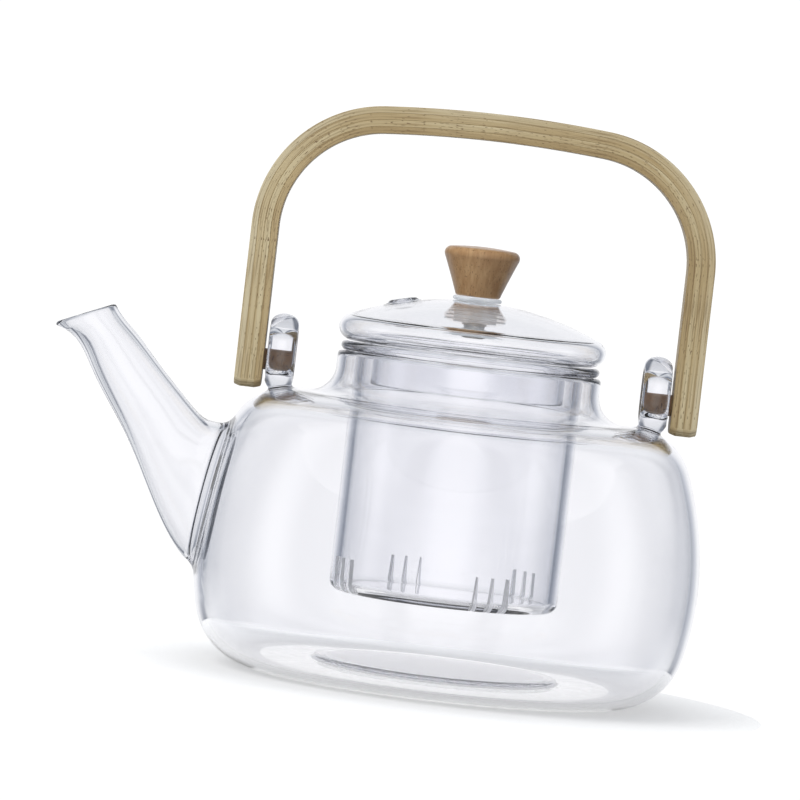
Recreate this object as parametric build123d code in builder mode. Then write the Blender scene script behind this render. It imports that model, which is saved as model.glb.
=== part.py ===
from build123d import *
import math
import os

# Glass teapot with a lift-out steeping cup, a blown lid and a bail handle of laminated bamboo.
# Millimetres, +Z up. The origin is the centre of the ring that the pot stands on, the spout
# points along -X, and the handle's pivot axis runs along X.

# ---------------------------------------------------------------- driving dimensions
glass_wall = 2.4

# pot: one revolved outline of tangent arcs
belly_radius = 73.4          # widest point of the body
belly_height = 35.0          # height of that widest point
base_corner = 20.0           # outer radius where the wall turns into the base
lower_wall_bow = 80.0        # radius of the slight bow below the widest point
upper_wall_bow = 95.0        # and above it
shoulder_corner = 18.0
shoulder_height = 81.4
neck_radius = 38.4
neck_flare = 8.0
neck_height = 94.1
rim_round = 1.1
kick_radius = 35.5           # raised disc in the middle of the base
kick_step = 2.0
kick_height = 2.2
body_split = 70.0            # the blown body is two nodes that meet here, above the spout's root

# spout: (lower edge x, z), (upper edge x, z), half width
spout_wall = 1.9
spout_stations = [
    ((-66.0, 27.0), (-66.0, 69.0), 15.0),
    ((-73.8, 27.4), (-73.8, 69.4), 15.0),
    ((-79.0, 32.0), (-77.5, 71.8), 13.8),
    ((-86.4, 43.4), (-81.8, 76.0), 12.2),
    ((-97.8, 63.9), (-90.9, 85.4), 9.6),
    ((-108.6, 79.9), (-97.5, 92.5), 8.3),
    ((-120.9, 93.4), (-103.8, 99.2), 7.6),
]

# lugs: glass loops standing on the shoulder
lug_offset = 54.5            # distance of each loop from the pot's axis
lug_rod_x = 8.2
lug_rod = 5.8
lug_slot_radius = 3.15       # half the width of the slot that the peg turns in
lug_height = 102.6

# handle: four bamboo strips glued face to face round a former
handle_half_span = 67.3
handle_bottom = 80.3
handle_top = 166.8
handle_corner = 38.0
handle_corner_height = 127.5
handle_depth = 12.6
handle_end_round = 3.5
ply_thickness = 1.95
ply_names = ["handle_outer_ply", "handle_second_ply", "handle_third_ply", "handle_inner_ply"]
pivot_height = 88.8
peg_radius = 3.1
peg_tip = 49.6
peg_sunk_end = 64.6

# steeping cup
cup_radius = 33.3
cup_wall = 2.6
cup_bottom = 24.9
cup_floor = 1.9
cup_corner = 3.0
cup_flange_radius = 37.7
cup_flange_low = 94.3
cup_flange_top = 97.0
slit_height = 10.0
slit_width = 1.4
slit_tip_width = 0.2
slit_pitch = 8.5             # degrees between neighbours in a group
slit_groups = [24.0, 129.0, 202.5, 295.0]   # degrees from -Y towards +X
slits_in_group = 3

# lid
lid_wall = 1.6
lid_rest = 97.2              # underside of the rolled edge, just clear of the cup's flange
lid_roll = 3.95
lid_radius = 38.9
lid_top = 112.45
collar_radius = 28.1
collar_bottom = 84.2
collar_fillet = 2.4
lid_hole = 5.2
vent_offset = -21.2
vent_bead_ring = 3.4
vent_bead = 0.95
vent_hole = 2.6

# knob and what holds it
knob_foot = 113.7
knob_top = 128.5
knob_foot_radius = 6.6
knob_wide_radius = 11.15
knob_wide_height = 125.9
knob_round = 1.8
insert_radius = 2.9
insert_length = 9.0
screw_radius = 1.95
screw_length = 14.6
screw_head_radius = 3.1
screw_head_height = 1.3
screw_cross_width = 0.9
washer_radius = 3.6
washer_thickness = 0.5
gasket_radius = 7.1
bush_core = 6.3
bush_bottom = 105.9
bush_rib = 0.5
bush_ribs = [(110.0, 7.2), (109.0, 7.9), (107.9, 8.6), (106.8, 9.1)]   # height, outer radius
fit_gap = 0.05               # between pieces that are clamped or screwed together


def crown_radius(corner_x, corner_z, corner_radius, top_z):
    """Radius of the arc centred on x = 0 that peaks at top_z and meets a corner arc tangentially."""
    rise = top_z - corner_z
    return (corner_x**2 + rise**2 - corner_radius**2) / (2 * (rise - corner_radius))


def pot_outline(inset):
    """Half outline of the pot, every arc drawn inset further in, from the axis to the axis."""
    base_reach = math.sqrt(
        (lower_wall_bow - base_corner) ** 2 - (belly_height - base_corner) ** 2
    )
    base_x = belly_radius - lower_wall_bow + base_reach
    lower_turn = math.degrees(math.asin((belly_height - base_corner) / (lower_wall_bow - base_corner)))
    corner_rise = shoulder_height - shoulder_corner - belly_height
    upper_turn = math.degrees(math.asin(corner_rise / (upper_wall_bow - shoulder_corner)))
    inner_neck = neck_radius - inset
    floor = Line((0, inset), (base_x, inset))
    corner = JernArc(floor @ 1, floor % 1, base_corner - inset, 90 - lower_turn)
    lower = JernArc(corner @ 1, corner % 1, lower_wall_bow - inset, lower_turn)
    upper = JernArc(lower @ 1, lower % 1, upper_wall_bow - inset, upper_turn)
    shoulder = JernArc(upper @ 1, upper % 1, shoulder_corner - inset, 90 - upper_turn)
    flat = Line(shoulder @ 1, (neck_radius + neck_flare, shoulder_height - inset))
    flare = JernArc(flat @ 1, flat % 1, neck_flare + inset, -90)
    Polyline(flare @ 1, (inner_neck, neck_height), (0, neck_height), (0, inset))


def spout_sections(inset):
    """Ellipses standing across the spout from its root to its tip, each inset all round."""
    sections = []
    for low, high, half_width in spout_stations:
        lean = Vector(high[0] - low[0], 0, high[1] - low[1])
        middle = Vector((low[0] + high[0]) / 2, 0, (low[1] + high[1]) / 2)
        across = Plane(origin=middle, x_dir=(0, 1, 0), z_dir=Vector(0, 1, 0).cross(lean))
        with BuildSketch(across) as section:
            Ellipse(half_width - inset, lean.length / 2 - inset)
        sections.append(section.sketch.face())
    return sections


def arch_window(inset):
    """The region under the bail's outline, inset all along, down to the leg ends."""
    side = handle_half_span - inset
    corner_x = handle_half_span - handle_corner
    crown = crown_radius(corner_x, handle_corner_height, handle_corner, handle_top)
    crown_turn = math.degrees(math.asin(corner_x / (crown - handle_corner)))
    with BuildSketch() as window:
        with BuildLine():
            leg = Line((side, handle_bottom), (side, handle_corner_height))
            corner = JernArc(leg @ 1, leg % 1, handle_corner - inset, 90 - crown_turn)
            top = JernArc(corner @ 1, corner % 1, crown - inset, 2 * crown_turn)
            far_corner = JernArc(top @ 1, top % 1, handle_corner - inset, 90 - crown_turn)
            Polyline(far_corner @ 1, (-side, handle_bottom), (side, handle_bottom))
        make_face()
    return window.sketch


def dome_height(radius, inset):
    """Height of the lid's dome at a radius, on the outside or inset into the wall."""
    roll_x = lid_radius - lid_roll
    crown = crown_radius(roll_x, lid_rest + lid_roll, lid_roll, lid_top)
    return lid_top - crown + math.sqrt((crown - inset) ** 2 - radius**2)


# ---------------------------------------------------------------- shapes used as cutting tools
with BuildPart() as pot_solid:
    with BuildSketch(Plane.XZ):
        with BuildLine():
            pot_outline(0)
        make_face()
    revolve(axis=Axis.Z)

with BuildPart() as pot_hollow:
    with BuildSketch(Plane.XZ):
        with BuildLine():
            pot_outline(glass_wall)
        make_face()
    revolve(axis=Axis.Z)

with BuildPart() as spout_bore:
    loft(spout_sections(spout_wall))

with BuildPart() as leg_end_envelope:
    with BuildSketch(Plane.YZ):
        with Locations((0, (handle_bottom + handle_top) / 2)):
            RectangleRounded(handle_depth, handle_top - handle_bottom, handle_end_round)
        with Locations((0, handle_top - handle_end_round)):
            Rectangle(handle_depth, 2 * handle_end_round)
    extrude(amount=handle_half_span, both=True)

# ---------------------------------------------------------------- pot body, blown in one piece
# Its bowl and its shoulder with the neck are nodes of their own, so that each is open on one side.
with BuildPart() as blown_body:
    add(pot_solid.part)
    add(pot_hollow.part, mode=Mode.SUBTRACT)
    with BuildSketch(Plane.XY):
        Circle(kick_radius)
    extrude(amount=kick_height + glass_wall)
    with BuildSketch(Plane.XY):
        Circle(kick_radius - kick_step)
    extrude(amount=kick_height, mode=Mode.SUBTRACT)
    rim_edges = blown_body.edges().filter_by(GeomType.CIRCLE).group_by(Axis.Z)[-1]
    fillet(rim_edges, rim_round)
    add(spout_bore.part, mode=Mode.SUBTRACT)

with BuildPart() as pot_body:
    add(blown_body.part)
    split(bisect_by=Plane.XY.offset(body_split), keep=Keep.BOTTOM)
pot_body.part.label = "pot_body"

with BuildPart() as pot_shoulder:
    add(blown_body.part)
    split(bisect_by=Plane.XY.offset(body_split), keep=Keep.TOP)
pot_shoulder.part.label = "pot_shoulder"

# ---------------------------------------------------------------- spout, fused onto the body
with BuildPart() as spout:
    loft(spout_sections(0))
    add(spout_bore.part, mode=Mode.SUBTRACT)
    add(pot_solid.part, mode=Mode.SUBTRACT)
spout.part.label = "spout"

# ---------------------------------------------------------------- lugs, fused onto the shoulder
lug_limb = lug_slot_radius + lug_rod / 2
lug_arch_height = lug_height - lug_rod - lug_slot_radius
lug_root = shoulder_height - 6
lugs = {}
for name, side in (("spout_side_lug", -1), ("rear_lug", 1)):
    lug_plane = Plane(origin=(side * lug_offset, 0, 0), x_dir=(0, 1, 0), z_dir=(1, 0, 0))
    with BuildPart() as lug:
        with BuildLine(lug_plane) as lug_path:
            limb_up = Line((lug_limb, lug_root), (lug_limb, lug_arch_height))
            arch = JernArc(limb_up @ 1, limb_up % 1, lug_limb, 180)
            Line(arch @ 1, (-lug_limb, lug_root))
        with BuildSketch(Plane(origin=lug_path.line @ 0, x_dir=(1, 0, 0), z_dir=(0, 0, 1))):
            Ellipse(lug_rod_x / 2, lug_rod / 2)
        sweep(path=lug_path.line)
        with BuildSketch(lug_plane):
            with Locations((0, (lug_root + pivot_height - 2) / 2)):
                Rectangle(2 * lug_limb, pivot_height - 2 - lug_root)
            with Locations((0, pivot_height)):
                Circle(lug_slot_radius, mode=Mode.SUBTRACT)
        extrude(amount=lug_rod_x / 2 - 1, both=True)
        with BuildSketch(lug_plane):
            with Locations((0, pivot_height)):
                Circle(lug_slot_radius)
        extrude(amount=lug_rod_x, both=True, mode=Mode.SUBTRACT)
        add(pot_solid.part, mode=Mode.SUBTRACT)
    lug.part.label = name
    lugs[name] = lug.part

# ---------------------------------------------------------------- steeping cup with slits
with BuildPart() as infuser_cup:
    with BuildSketch(Plane.XZ):
        with BuildLine():
            Polyline(
                (0, cup_bottom),
                (cup_radius, cup_bottom),
                (cup_radius, cup_flange_low),
                (cup_flange_radius, cup_flange_low),
                (cup_flange_radius, cup_flange_top),
                (cup_radius - cup_wall, cup_flange_top),
                (cup_radius - cup_wall, cup_bottom + cup_floor),
                (0, cup_bottom + cup_floor),
                close=True,
            )
        make_face()
    revolve(axis=Axis.Z)
    rings = infuser_cup.edges().filter_by(GeomType.CIRCLE).group_by(Axis.Z)
    outer_ring = rings[0]
    floor_ring = rings[1]
    flange_rings = infuser_cup.edges().filter_by(lambda edge: edge.length > 6.3 * cup_flange_radius - 1)
    fillet(floor_ring, cup_corner - cup_floor)
    fillet(outer_ring, cup_corner)
    fillet(flange_rings, (cup_flange_top - cup_flange_low) / 2 - 0.05)
    for group in slit_groups:
        for place in range(slits_in_group):
            bearing = math.radians(group + slit_pitch * (place - (slits_in_group - 1) / 2))
            outward = Vector(math.sin(bearing), -math.cos(bearing), 0)
            sideways = Vector(0, 0, 1).cross(outward)
            slit_plane = Plane(origin=outward * (cup_radius + 1), x_dir=sideways, z_dir=outward)
            with BuildSketch(slit_plane):
                Polygon(
                    (-slit_width / 2, cup_bottom - 1),
                    (slit_width / 2, cup_bottom - 1),
                    (slit_tip_width / 2, cup_bottom + slit_height),
                    (-slit_tip_width / 2, cup_bottom + slit_height),
                    align=None,
                )
            extrude(amount=-(cup_wall + 3), mode=Mode.SUBTRACT)
infuser_cup.part.label = "infuser_cup"

# ---------------------------------------------------------------- lid glass, blown hollow
roll_x = lid_radius - lid_roll
roll_z = lid_rest + lid_roll
lid_crown = crown_radius(roll_x, roll_z, lid_roll, lid_top)
dome_lean = math.degrees(math.asin(roll_x / (lid_crown - lid_roll)))


def lid_outline(inset):
    """Half section of the lid's outside, or of its hollow when inset by the wall."""
    collar = Line((collar_radius - inset, collar_bottom), (collar_radius - inset, lid_rest - collar_fillet))
    turn = JernArc(collar @ 1, collar % 1, collar_fillet + inset, -90)
    under = Line(turn @ 1, (roll_x, lid_rest + inset))
    roll = JernArc(under @ 1, under % 1, lid_roll - inset, 180 - dome_lean)
    dome = JernArc(roll @ 1, roll % 1, lid_crown - inset, dome_lean)
    Polyline(dome @ 1, (0, collar_bottom), collar @ 0)


with BuildPart() as lid_glass:
    with BuildSketch(Plane.XZ):
        with BuildLine():
            lid_outline(0)
        make_face()
    revolve(axis=Axis.Z)
    with BuildSketch(Plane.XZ):
        with BuildLine():
            lid_outline(lid_wall)
        make_face()
    revolve(axis=Axis.Z, mode=Mode.SUBTRACT)
    collar_edges = lid_glass.edges().filter_by(GeomType.CIRCLE).group_by(Axis.Z)[0]
    fillet(collar_edges, lid_wall / 2 - 0.1)
    with BuildSketch(Plane.XY.offset(roll_z)):
        Circle(lid_hole)
    extrude(amount=lid_top - roll_z + 1, mode=Mode.SUBTRACT)
    vent_lean = math.asin(vent_offset / lid_crown)
    vent_plane = Plane(
        origin=(vent_offset, 0, dome_height(vent_offset, 0)),
        x_dir=(0, 1, 0),
        z_dir=(math.sin(vent_lean), 0, math.cos(vent_lean)),
    )
    with Locations(vent_plane):
        Torus(vent_bead_ring, vent_bead)
        Cylinder(vent_hole, 4 * lid_wall, mode=Mode.SUBTRACT)
lid_glass.part.label = "lid_glass"

# ---------------------------------------------------------------- knob and its fastening
with BuildPart() as lid_knob:
    with BuildSketch(Plane.XZ):
        Polygon(
            (0, knob_foot),
            (knob_foot_radius, knob_foot),
            (knob_wide_radius, knob_wide_height),
            (knob_wide_radius - knob_round / 3, knob_top),
            (0, knob_top),
            align=None,
        )
    revolve(axis=Axis.Z)
    knob_rings = lid_knob.edges().filter_by(GeomType.CIRCLE).group_by(Axis.Z)
    fillet(knob_rings[-1], knob_round)
    with BuildSketch(Plane.XY.offset(knob_foot)):
        Circle(insert_radius)
    extrude(amount=insert_length, mode=Mode.SUBTRACT)
lid_knob.part.label = "lid_knob"

with BuildPart() as knob_insert:
    with BuildSketch(Plane.XY.offset(knob_foot)):
        Circle(insert_radius)
        Circle(screw_radius + fit_gap, mode=Mode.SUBTRACT)
    extrude(amount=insert_length)
    foot_rings = knob_insert.edges().filter_by(GeomType.CIRCLE).group_by(Axis.Z)[0]
    chamfer(foot_rings.sort_by(SortBy.RADIUS)[0], 0.3)
knob_insert.part.label = "knob_insert"

head_seat = bush_bottom - washer_thickness - 2 * fit_gap
with BuildPart() as knob_screw:
    with BuildSketch(Plane.XY.offset(head_seat)):
        Circle(screw_radius)
    extrude(amount=screw_length)
    chamfer(knob_screw.edges().filter_by(GeomType.CIRCLE).group_by(Axis.Z)[-1], 0.4)
    with BuildSketch(Plane.XY.offset(head_seat - screw_head_height)):
        Circle(screw_head_radius)
    extrude(amount=screw_head_height)
    fillet(knob_screw.edges().filter_by(GeomType.CIRCLE).group_by(Axis.Z)[0], screw_head_height * 0.6)
    with BuildSketch(Plane.XY.offset(head_seat - screw_head_height)):
        Rectangle(screw_head_radius * 1.1, screw_cross_width)
        Rectangle(screw_cross_width, screw_head_radius * 1.1)
    extrude(amount=screw_head_height * 0.7, mode=Mode.SUBTRACT)
knob_screw.part.label = "knob_screw"

with BuildPart() as screw_washer:
    with BuildSketch(Plane.XY.offset(head_seat + fit_gap)):
        Circle(washer_radius)
        Circle(screw_radius + 2 * fit_gap, mode=Mode.SUBTRACT)
    extrude(amount=washer_thickness)
screw_washer.part.label = "screw_washer"

with BuildPart() as upper_gasket:
    with BuildSketch(Plane.XZ):
        with BuildLine():
            Polyline(
                (screw_radius + fit_gap, dome_height(0, 0) + fit_gap),
                (screw_radius + fit_gap, knob_foot - fit_gap),
                (gasket_radius, knob_foot - fit_gap),
                (gasket_radius, dome_height(gasket_radius, 0) + fit_gap),
                (lid_hole, dome_height(lid_hole, 0) + fit_gap),
                close=True,
            )
        make_face()
    revolve(axis=Axis.Z)
    top_rings = upper_gasket.edges().filter_by(GeomType.CIRCLE).group_by(Axis.Z)[-1]
    fillet(top_rings.sort_by(SortBy.RADIUS)[-1], 0.4)
upper_gasket.part.label = "upper_gasket"

with BuildPart() as lower_bush:
    with BuildSketch(Plane.XY.offset(bush_bottom)):
        Circle(bush_core)
    extrude(amount=dome_height(bush_core, lid_wall) - fit_gap - bush_bottom)
    with BuildSketch(Plane.XY.offset(bush_bottom)):
        Circle(lid_hole - fit_gap)
    extrude(amount=dome_height(lid_hole, 0) - bush_bottom)
    for rib_height, rib_radius in bush_ribs:
        with BuildSketch(Plane.XY.offset(rib_height - bush_rib / 2)):
            Circle(rib_radius)
        extrude(amount=bush_rib)
    with BuildSketch(Plane.XY.offset(bush_bottom - 1)):
        Circle(screw_radius + fit_gap)
    extrude(amount=lid_top - bush_bottom + 2, mode=Mode.SUBTRACT)
lower_bush.part.label = "lower_bush"

# ---------------------------------------------------------------- handle strips and pegs
plies = {}
for number, name in enumerate(ply_names):
    outer_inset = number * ply_thickness
    with BuildPart() as ply:
        with BuildSketch(Plane.XZ):
            add(arch_window(outer_inset))
            add(arch_window(outer_inset + ply_thickness), mode=Mode.SUBTRACT)
        extrude(amount=handle_depth / 2, both=True)
        add(leg_end_envelope.part, mode=Mode.INTERSECT)
        with BuildSketch(Plane.YZ):
            with Locations((0, pivot_height)):
                Circle(peg_radius)
        extrude(amount=peg_sunk_end, both=True, mode=Mode.SUBTRACT)
    ply.part.label = name
    plies[name] = ply.part

pegs = {}
for name, side in (("spout_side_peg", -1), ("rear_peg", 1)):
    with BuildPart() as peg:
        with BuildSketch(Plane(origin=(side * peg_tip, 0, pivot_height), z_dir=(side, 0, 0))):
            Circle(peg_radius)
        extrude(amount=peg_sunk_end - peg_tip)
        tip_edge = peg.edges().filter_by(GeomType.CIRCLE).sort_by(Axis.X)[0 if side > 0 else -1]
        fillet(tip_edge, 1.6)
    peg.part.label = name
    pegs[name] = peg.part

# ---------------------------------------------------------------- files
os.makedirs("parts", exist_ok=True)
pieces = [
    pot_body.part,
    pot_shoulder.part,
    spout.part,
    *lugs.values(),
    infuser_cup.part,
    lid_glass.part,
    lid_knob.part,
    knob_insert.part,
    knob_screw.part,
    screw_washer.part,
    upper_gasket.part,
    lower_bush.part,
    *plies.values(),
    *pegs.values(),
]
for piece in pieces:
    export_step(piece, f"parts/{piece.label}.step")
    print(piece.label, round(piece.volume), piece.bounding_box())
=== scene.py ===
"""Glass teapot: the visible model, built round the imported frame.

Shapes are worked out in millimetres and put into meshes in metres, in the frame's own axes: +Z up,
the spout towards -X, the origin on the table under the middle of the pot.
"""

import logging
import math
from collections.abc import Callable
from dataclasses import dataclass
from enum import Enum

import bmesh
import bpy
import numpy as np
from mathutils import Matrix, Vector


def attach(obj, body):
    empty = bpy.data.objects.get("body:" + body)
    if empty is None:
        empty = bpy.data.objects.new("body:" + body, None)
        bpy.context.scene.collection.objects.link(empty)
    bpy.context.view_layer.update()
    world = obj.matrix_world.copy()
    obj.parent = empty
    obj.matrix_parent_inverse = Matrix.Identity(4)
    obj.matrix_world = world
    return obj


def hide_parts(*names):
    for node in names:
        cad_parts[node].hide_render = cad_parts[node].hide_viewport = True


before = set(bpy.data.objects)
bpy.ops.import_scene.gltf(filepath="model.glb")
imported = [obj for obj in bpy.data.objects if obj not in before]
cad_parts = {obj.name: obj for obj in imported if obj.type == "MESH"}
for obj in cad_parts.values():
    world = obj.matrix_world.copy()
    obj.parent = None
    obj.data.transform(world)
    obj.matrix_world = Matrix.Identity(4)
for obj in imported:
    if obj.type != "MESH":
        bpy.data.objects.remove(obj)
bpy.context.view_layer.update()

log = logging.getLogger("teapot")
MM = 0.001
Array = np.ndarray
Surface = Callable[[Array, float], Array]


class Body(Enum):
    """The moving bodies of the frame."""

    POT = "pot"
    CUP = "cup"
    LID = "lid"
    HANDLE = "handle"


class Slot(Enum):
    """The record's material slots."""

    GLASS = "borosilicate_glass"
    BAMBOO = "bamboo"
    KNOB = "knob_wood"
    PEG = "peg_wood"
    SILICONE = "silicone"
    STEEL = "steel"


# ------------------------------------------------------------------------------ outlines


class Pen:
    """Draws a half outline, (radius, height) in mm, as straight runs and tangent arcs."""

    def __init__(self, start: tuple[float, float], heading: float, step: float) -> None:
        """Puts the pen down.

        Args:
            start: first point.
            heading: direction in degrees, 0 away from the axis and 90 up.
            step: longest distance between two points.
        """
        self.at = np.array(start, float)
        self.heading = math.radians(heading)
        self.step = step
        self.length = 0.0
        self.marks: dict[str, float] = {}
        self._points = [self.at[None]]
        self._places = [np.zeros(1)]

    def _add(self, part: Array, length: float) -> "Pen":
        """Keeps evenly spaced points and how far along the outline they are."""
        self._points.append(part)
        self._places.append(self.length + np.linspace(0, length, len(part) + 1)[1:])
        self.at = part[-1]
        self.length += length
        return self

    def run(self, length: float) -> "Pen":
        """Draws a straight run."""
        count = max(1, math.ceil(length / self.step - 1e-6))
        way = np.array([math.cos(self.heading), math.sin(self.heading)])
        return self._add(self.at + np.linspace(0, length, count + 1)[1:, None] * way, length)

    def arc(self, radius: float, turn: float) -> "Pen":
        """Draws an arc that turns left by turn degrees, or right if turn is negative.

        A point at angle a along it is the centre plus the first spoke turned by a.
        """
        turned = math.radians(turn)
        side = math.copysign(1.0, turned)
        normal = np.array([-math.sin(self.heading), math.cos(self.heading)]) * side
        centre = self.at + radius * normal
        spoke = self.at - centre
        length = radius * abs(turned)
        count = max(math.ceil(length / self.step), math.ceil(abs(turn) / 15))
        angle = np.linspace(0, turned, count + 1)[1:]
        across = spoke[0] * np.cos(angle) - spoke[1] * np.sin(angle)
        up = spoke[0] * np.sin(angle) + spoke[1] * np.cos(angle)
        self._add(centre + np.stack([across, up], axis=1), length)
        self.heading += turned
        return self

    def grain(self, step: float) -> "Pen":
        """Changes the longest distance between two points."""
        self.step = step
        return self

    def mark(self, name: str) -> "Pen":
        """Notes the length drawn so far under a name."""
        self.marks[name] = self.length
        return self

    @property
    def points(self) -> Array:
        """Every point drawn, (n, 2)."""
        return np.concatenate(self._points)

    @property
    def places(self) -> Array:
        """How far along the outline each point is."""
        return np.concatenate(self._places)


def about_axis(radius: Array, angle: Array, height: Array | float) -> Array:
    """Points (r cos a, r sin a, z) for values that broadcast together."""
    values = np.broadcast_arrays(radius * np.cos(angle), radius * np.sin(angle), height)
    return np.stack(values, axis=-1)


class Turned:
    """A surface of revolution about the Z axis, read at (angle, place along its outline)."""

    def __init__(self, outline: Pen) -> None:
        """Args: outline, drawn finely enough to be read by straight interpolation."""
        self.points = outline.points
        self.places = outline.places
        self.marks = outline.marks

    def at(self, angle: Array, place: Array) -> Array:
        """Points (r cos a, r sin a, z) for angles and places that broadcast together."""
        angle, place = np.broadcast_arrays(angle, place)
        radius = np.interp(place, self.places, self.points[:, 0])
        height = np.interp(place, self.places, self.points[:, 1])
        return about_axis(radius, angle, height)

    def stretch(self, low: str, high: str) -> tuple[Array, Array]:
        """The outline's points and places between two marks."""
        inside = (self.places >= self.marks[low]) & (self.places <= self.marks[high])
        return self.points[inside], self.places[inside]

    def nearest(self, points: Array, low: str, high: str) -> Array:
        """Place on the outline, between two marks, that is nearest to each 3-D point."""
        outline, places = self.stretch(low, high)
        reach = np.hypot(points[:, 0], points[:, 1])
        gap = (outline[:, 0] - reach[:, None]) ** 2 + (outline[:, 1] - points[:, 2:3]) ** 2
        return places[gap.argmin(axis=1)]


def crossing(surface: Surface, depth: Callable[[Array], Array], swell: float, level: float) -> Array:
    """Where rays drawn on a surface first rise through a depth.

    Args:
        surface: gives the points (rays, shares, 3) at shares 0..1 of every ray, swollen by mm.
        depth: height of points above the glass that the rays start in.
        swell: how far the surface is swollen.
        level: height looked for.

    Returns:
        (rays,) share of each ray at its first crossing, interpolated between two samples.
    """
    shares = np.linspace(0, 1, 400)
    height = depth(surface(shares, swell))
    above = (height[:, 1:] >= level) & (height[:, :-1] < level)
    column = above.argmax(axis=1)
    ray = np.arange(len(height))
    low, high = height[ray, column], height[ray, column + 1]
    share = np.clip((level - low) / np.where(high == low, 1, high - low), 0, 1)
    return shares[column] + share * (shares[1] - shares[0])


def smooth_line(knots: Array, values: Array, places: Array) -> Array:
    """Natural cubic spline through values (n, k) at knots (n,), read at places.

    Its second derivatives m solve h m0 + 2 (h + h') m1 + h' m2 = 6 (slope' - slope), with none at
    the ends.
    """
    gap = np.diff(knots)
    slope = np.diff(values, axis=0) / gap[:, None]
    count = len(knots)
    system = np.eye(count)
    inner = np.arange(1, count - 1)
    system[inner, inner - 1] = gap[:-1]
    system[inner, inner] = 2 * (gap[:-1] + gap[1:])
    system[inner, inner + 1] = gap[1:]
    right = np.zeros_like(values)
    right[1:-1] = 6 * np.diff(slope, axis=0)
    bend = np.linalg.solve(system, right)
    part = np.clip(np.searchsorted(knots, places) - 1, 0, count - 2)
    step = gap[part][..., None]
    a = (knots[part + 1] - places)[..., None] / step
    b = 1 - a
    curve = ((a**3 - a) * bend[part] + (b**3 - b) * bend[part + 1]) * step**2 / 6
    return a * values[part] + b * values[part + 1] + curve


def fillet_rows(start: Array, corner: Array, end: Array, count: int) -> Array:
    """Rows of a quadratic curve from start to end that leaves and arrives along the corner."""
    share = np.linspace(0, 1, count + 2)[1:-1, None, None]
    return (1 - share) ** 2 * start + 2 * share * (1 - share) * corner + share**2 * end


def rows_between(start: Array, end: Array, count: int) -> Array:
    """Rows evenly spaced between start and end, without either."""
    share = np.linspace(0, 1, count + 2)[1:-1].reshape((-1,) + (1,) * start.ndim)
    return start + share * (end - start)


def edge_of_block(rows: Array, columns: Array) -> tuple[Array, Array]:
    """Row and column numbers of the points round a block of a grid, corner by corner."""
    row = [np.full(len(columns) - 1, rows[0]), rows[:-1]]
    row += [np.full(len(columns) - 1, rows[-1]), rows[:0:-1]]
    column = [columns[:-1], np.full(len(rows) - 1, columns[-1])]
    column += [columns[:0:-1], np.full(len(rows) - 1, columns[0])]
    return np.concatenate(row), np.concatenate(column)


# ------------------------------------------------------------------------------ meshes


class MeshWriter:
    """Collects points and faces, in mm, and makes one Blender object of them."""

    def __init__(self) -> None:
        """Starts empty."""
        self.blocks: list[Array] = []
        self.count = 0
        self.faces: list[Array] = []
        self.paints: list[Array] = []
        self.maps: list[Array] = []

    def points(self, points: Array) -> Array:
        """Adds points (..., 3) and returns their numbers, in the same layout."""
        flat = points.reshape(-1, 3)
        numbers = np.arange(self.count, self.count + len(flat))
        self.blocks.append(flat)
        self.count += len(flat)
        return numbers.reshape(points.shape[:-1])

    def skin(
        self,
        numbers: Array,
        wrap: bool = False,
        closed: bool = False,
        keep: Array | None = None,
        paint: int | Array = 0,
        places: Array | None = None,
    ) -> None:
        """Lays quads over a grid of point numbers.

        Args:
            numbers: (rows, columns) point numbers.
            wrap: join the last column to the first.
            closed: join the last row to the first.
            keep: which quads to lay, all if None.
            paint: material number, one or one per row of quads.
            places: (rows, columns, 2) place of each point on the piece's own map, where the last
                row and column repeat the first if they are joined.
        """
        if wrap:
            numbers = np.concatenate([numbers, numbers[:, :1]], axis=1)
        if closed:
            numbers = np.concatenate([numbers, numbers[:1]], axis=0)
        quads = np.stack(
            [numbers[:-1, :-1], numbers[:-1, 1:], numbers[1:, 1:], numbers[1:, :-1]], axis=-1
        )
        paints = np.broadcast_to(np.asarray(paint).reshape(-1, 1), quads.shape[:2])
        chosen = np.ones(quads.shape[:2], bool) if keep is None else keep
        self.faces.append(quads[chosen])
        self.paints.append(paints[chosen])
        if places is not None:
            corners = [places[:-1, :-1], places[:-1, 1:], places[1:, 1:], places[1:, :-1]]
            self.maps.append(np.stack(corners, axis=2)[chosen].reshape(-1, 2))

    def fan(self, loop: Array, middle: Array, paint: int = 0) -> None:
        """Closes a loop of point numbers with triangles that meet at a middle point."""
        centre = self.points(middle.reshape(1, 3))[0]
        self.faces.append(np.stack([loop, np.roll(loop, -1), np.full_like(loop, centre)], axis=1))
        self.paints.append(np.full(len(loop), paint))

    def plate(self, numbers: Array, paint: int = 0) -> None:
        """Lays one flat face over a loop of point numbers."""
        self.faces.append(numbers[None])
        self.paints.append(np.array([paint]))

    def finish(self, name: str, finishes: list[bpy.types.Material]) -> bpy.types.Object:
        """Makes the object, closed, smooth and with its faces outwards.

        Args:
            name: the object's name.
            finishes: its materials, in the order of the paint numbers.

        Returns:
            The new object, linked into the scene at the origin.
        """
        mesh = bpy.data.meshes.new(name)
        points = np.concatenate(self.blocks) * MM
        faces = [face for block in self.faces for face in block.tolist()]
        mesh.from_pydata(points.tolist(), [], faces)
        for material in finishes:
            mesh.materials.append(material)
        mesh.polygons.foreach_set("material_index", np.concatenate(self.paints).astype(np.int32))
        if self.maps:
            layer = mesh.uv_layers.new(name="Surface")
            layer.data.foreach_set("uv", np.concatenate(self.maps).astype(np.float32).ravel())
        turn_outwards(mesh)
        mesh.polygons.foreach_set("use_smooth", np.ones(len(mesh.polygons), bool))
        piece = bpy.data.objects.new(name, mesh)
        bpy.context.scene.collection.objects.link(piece)
        return piece


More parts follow.
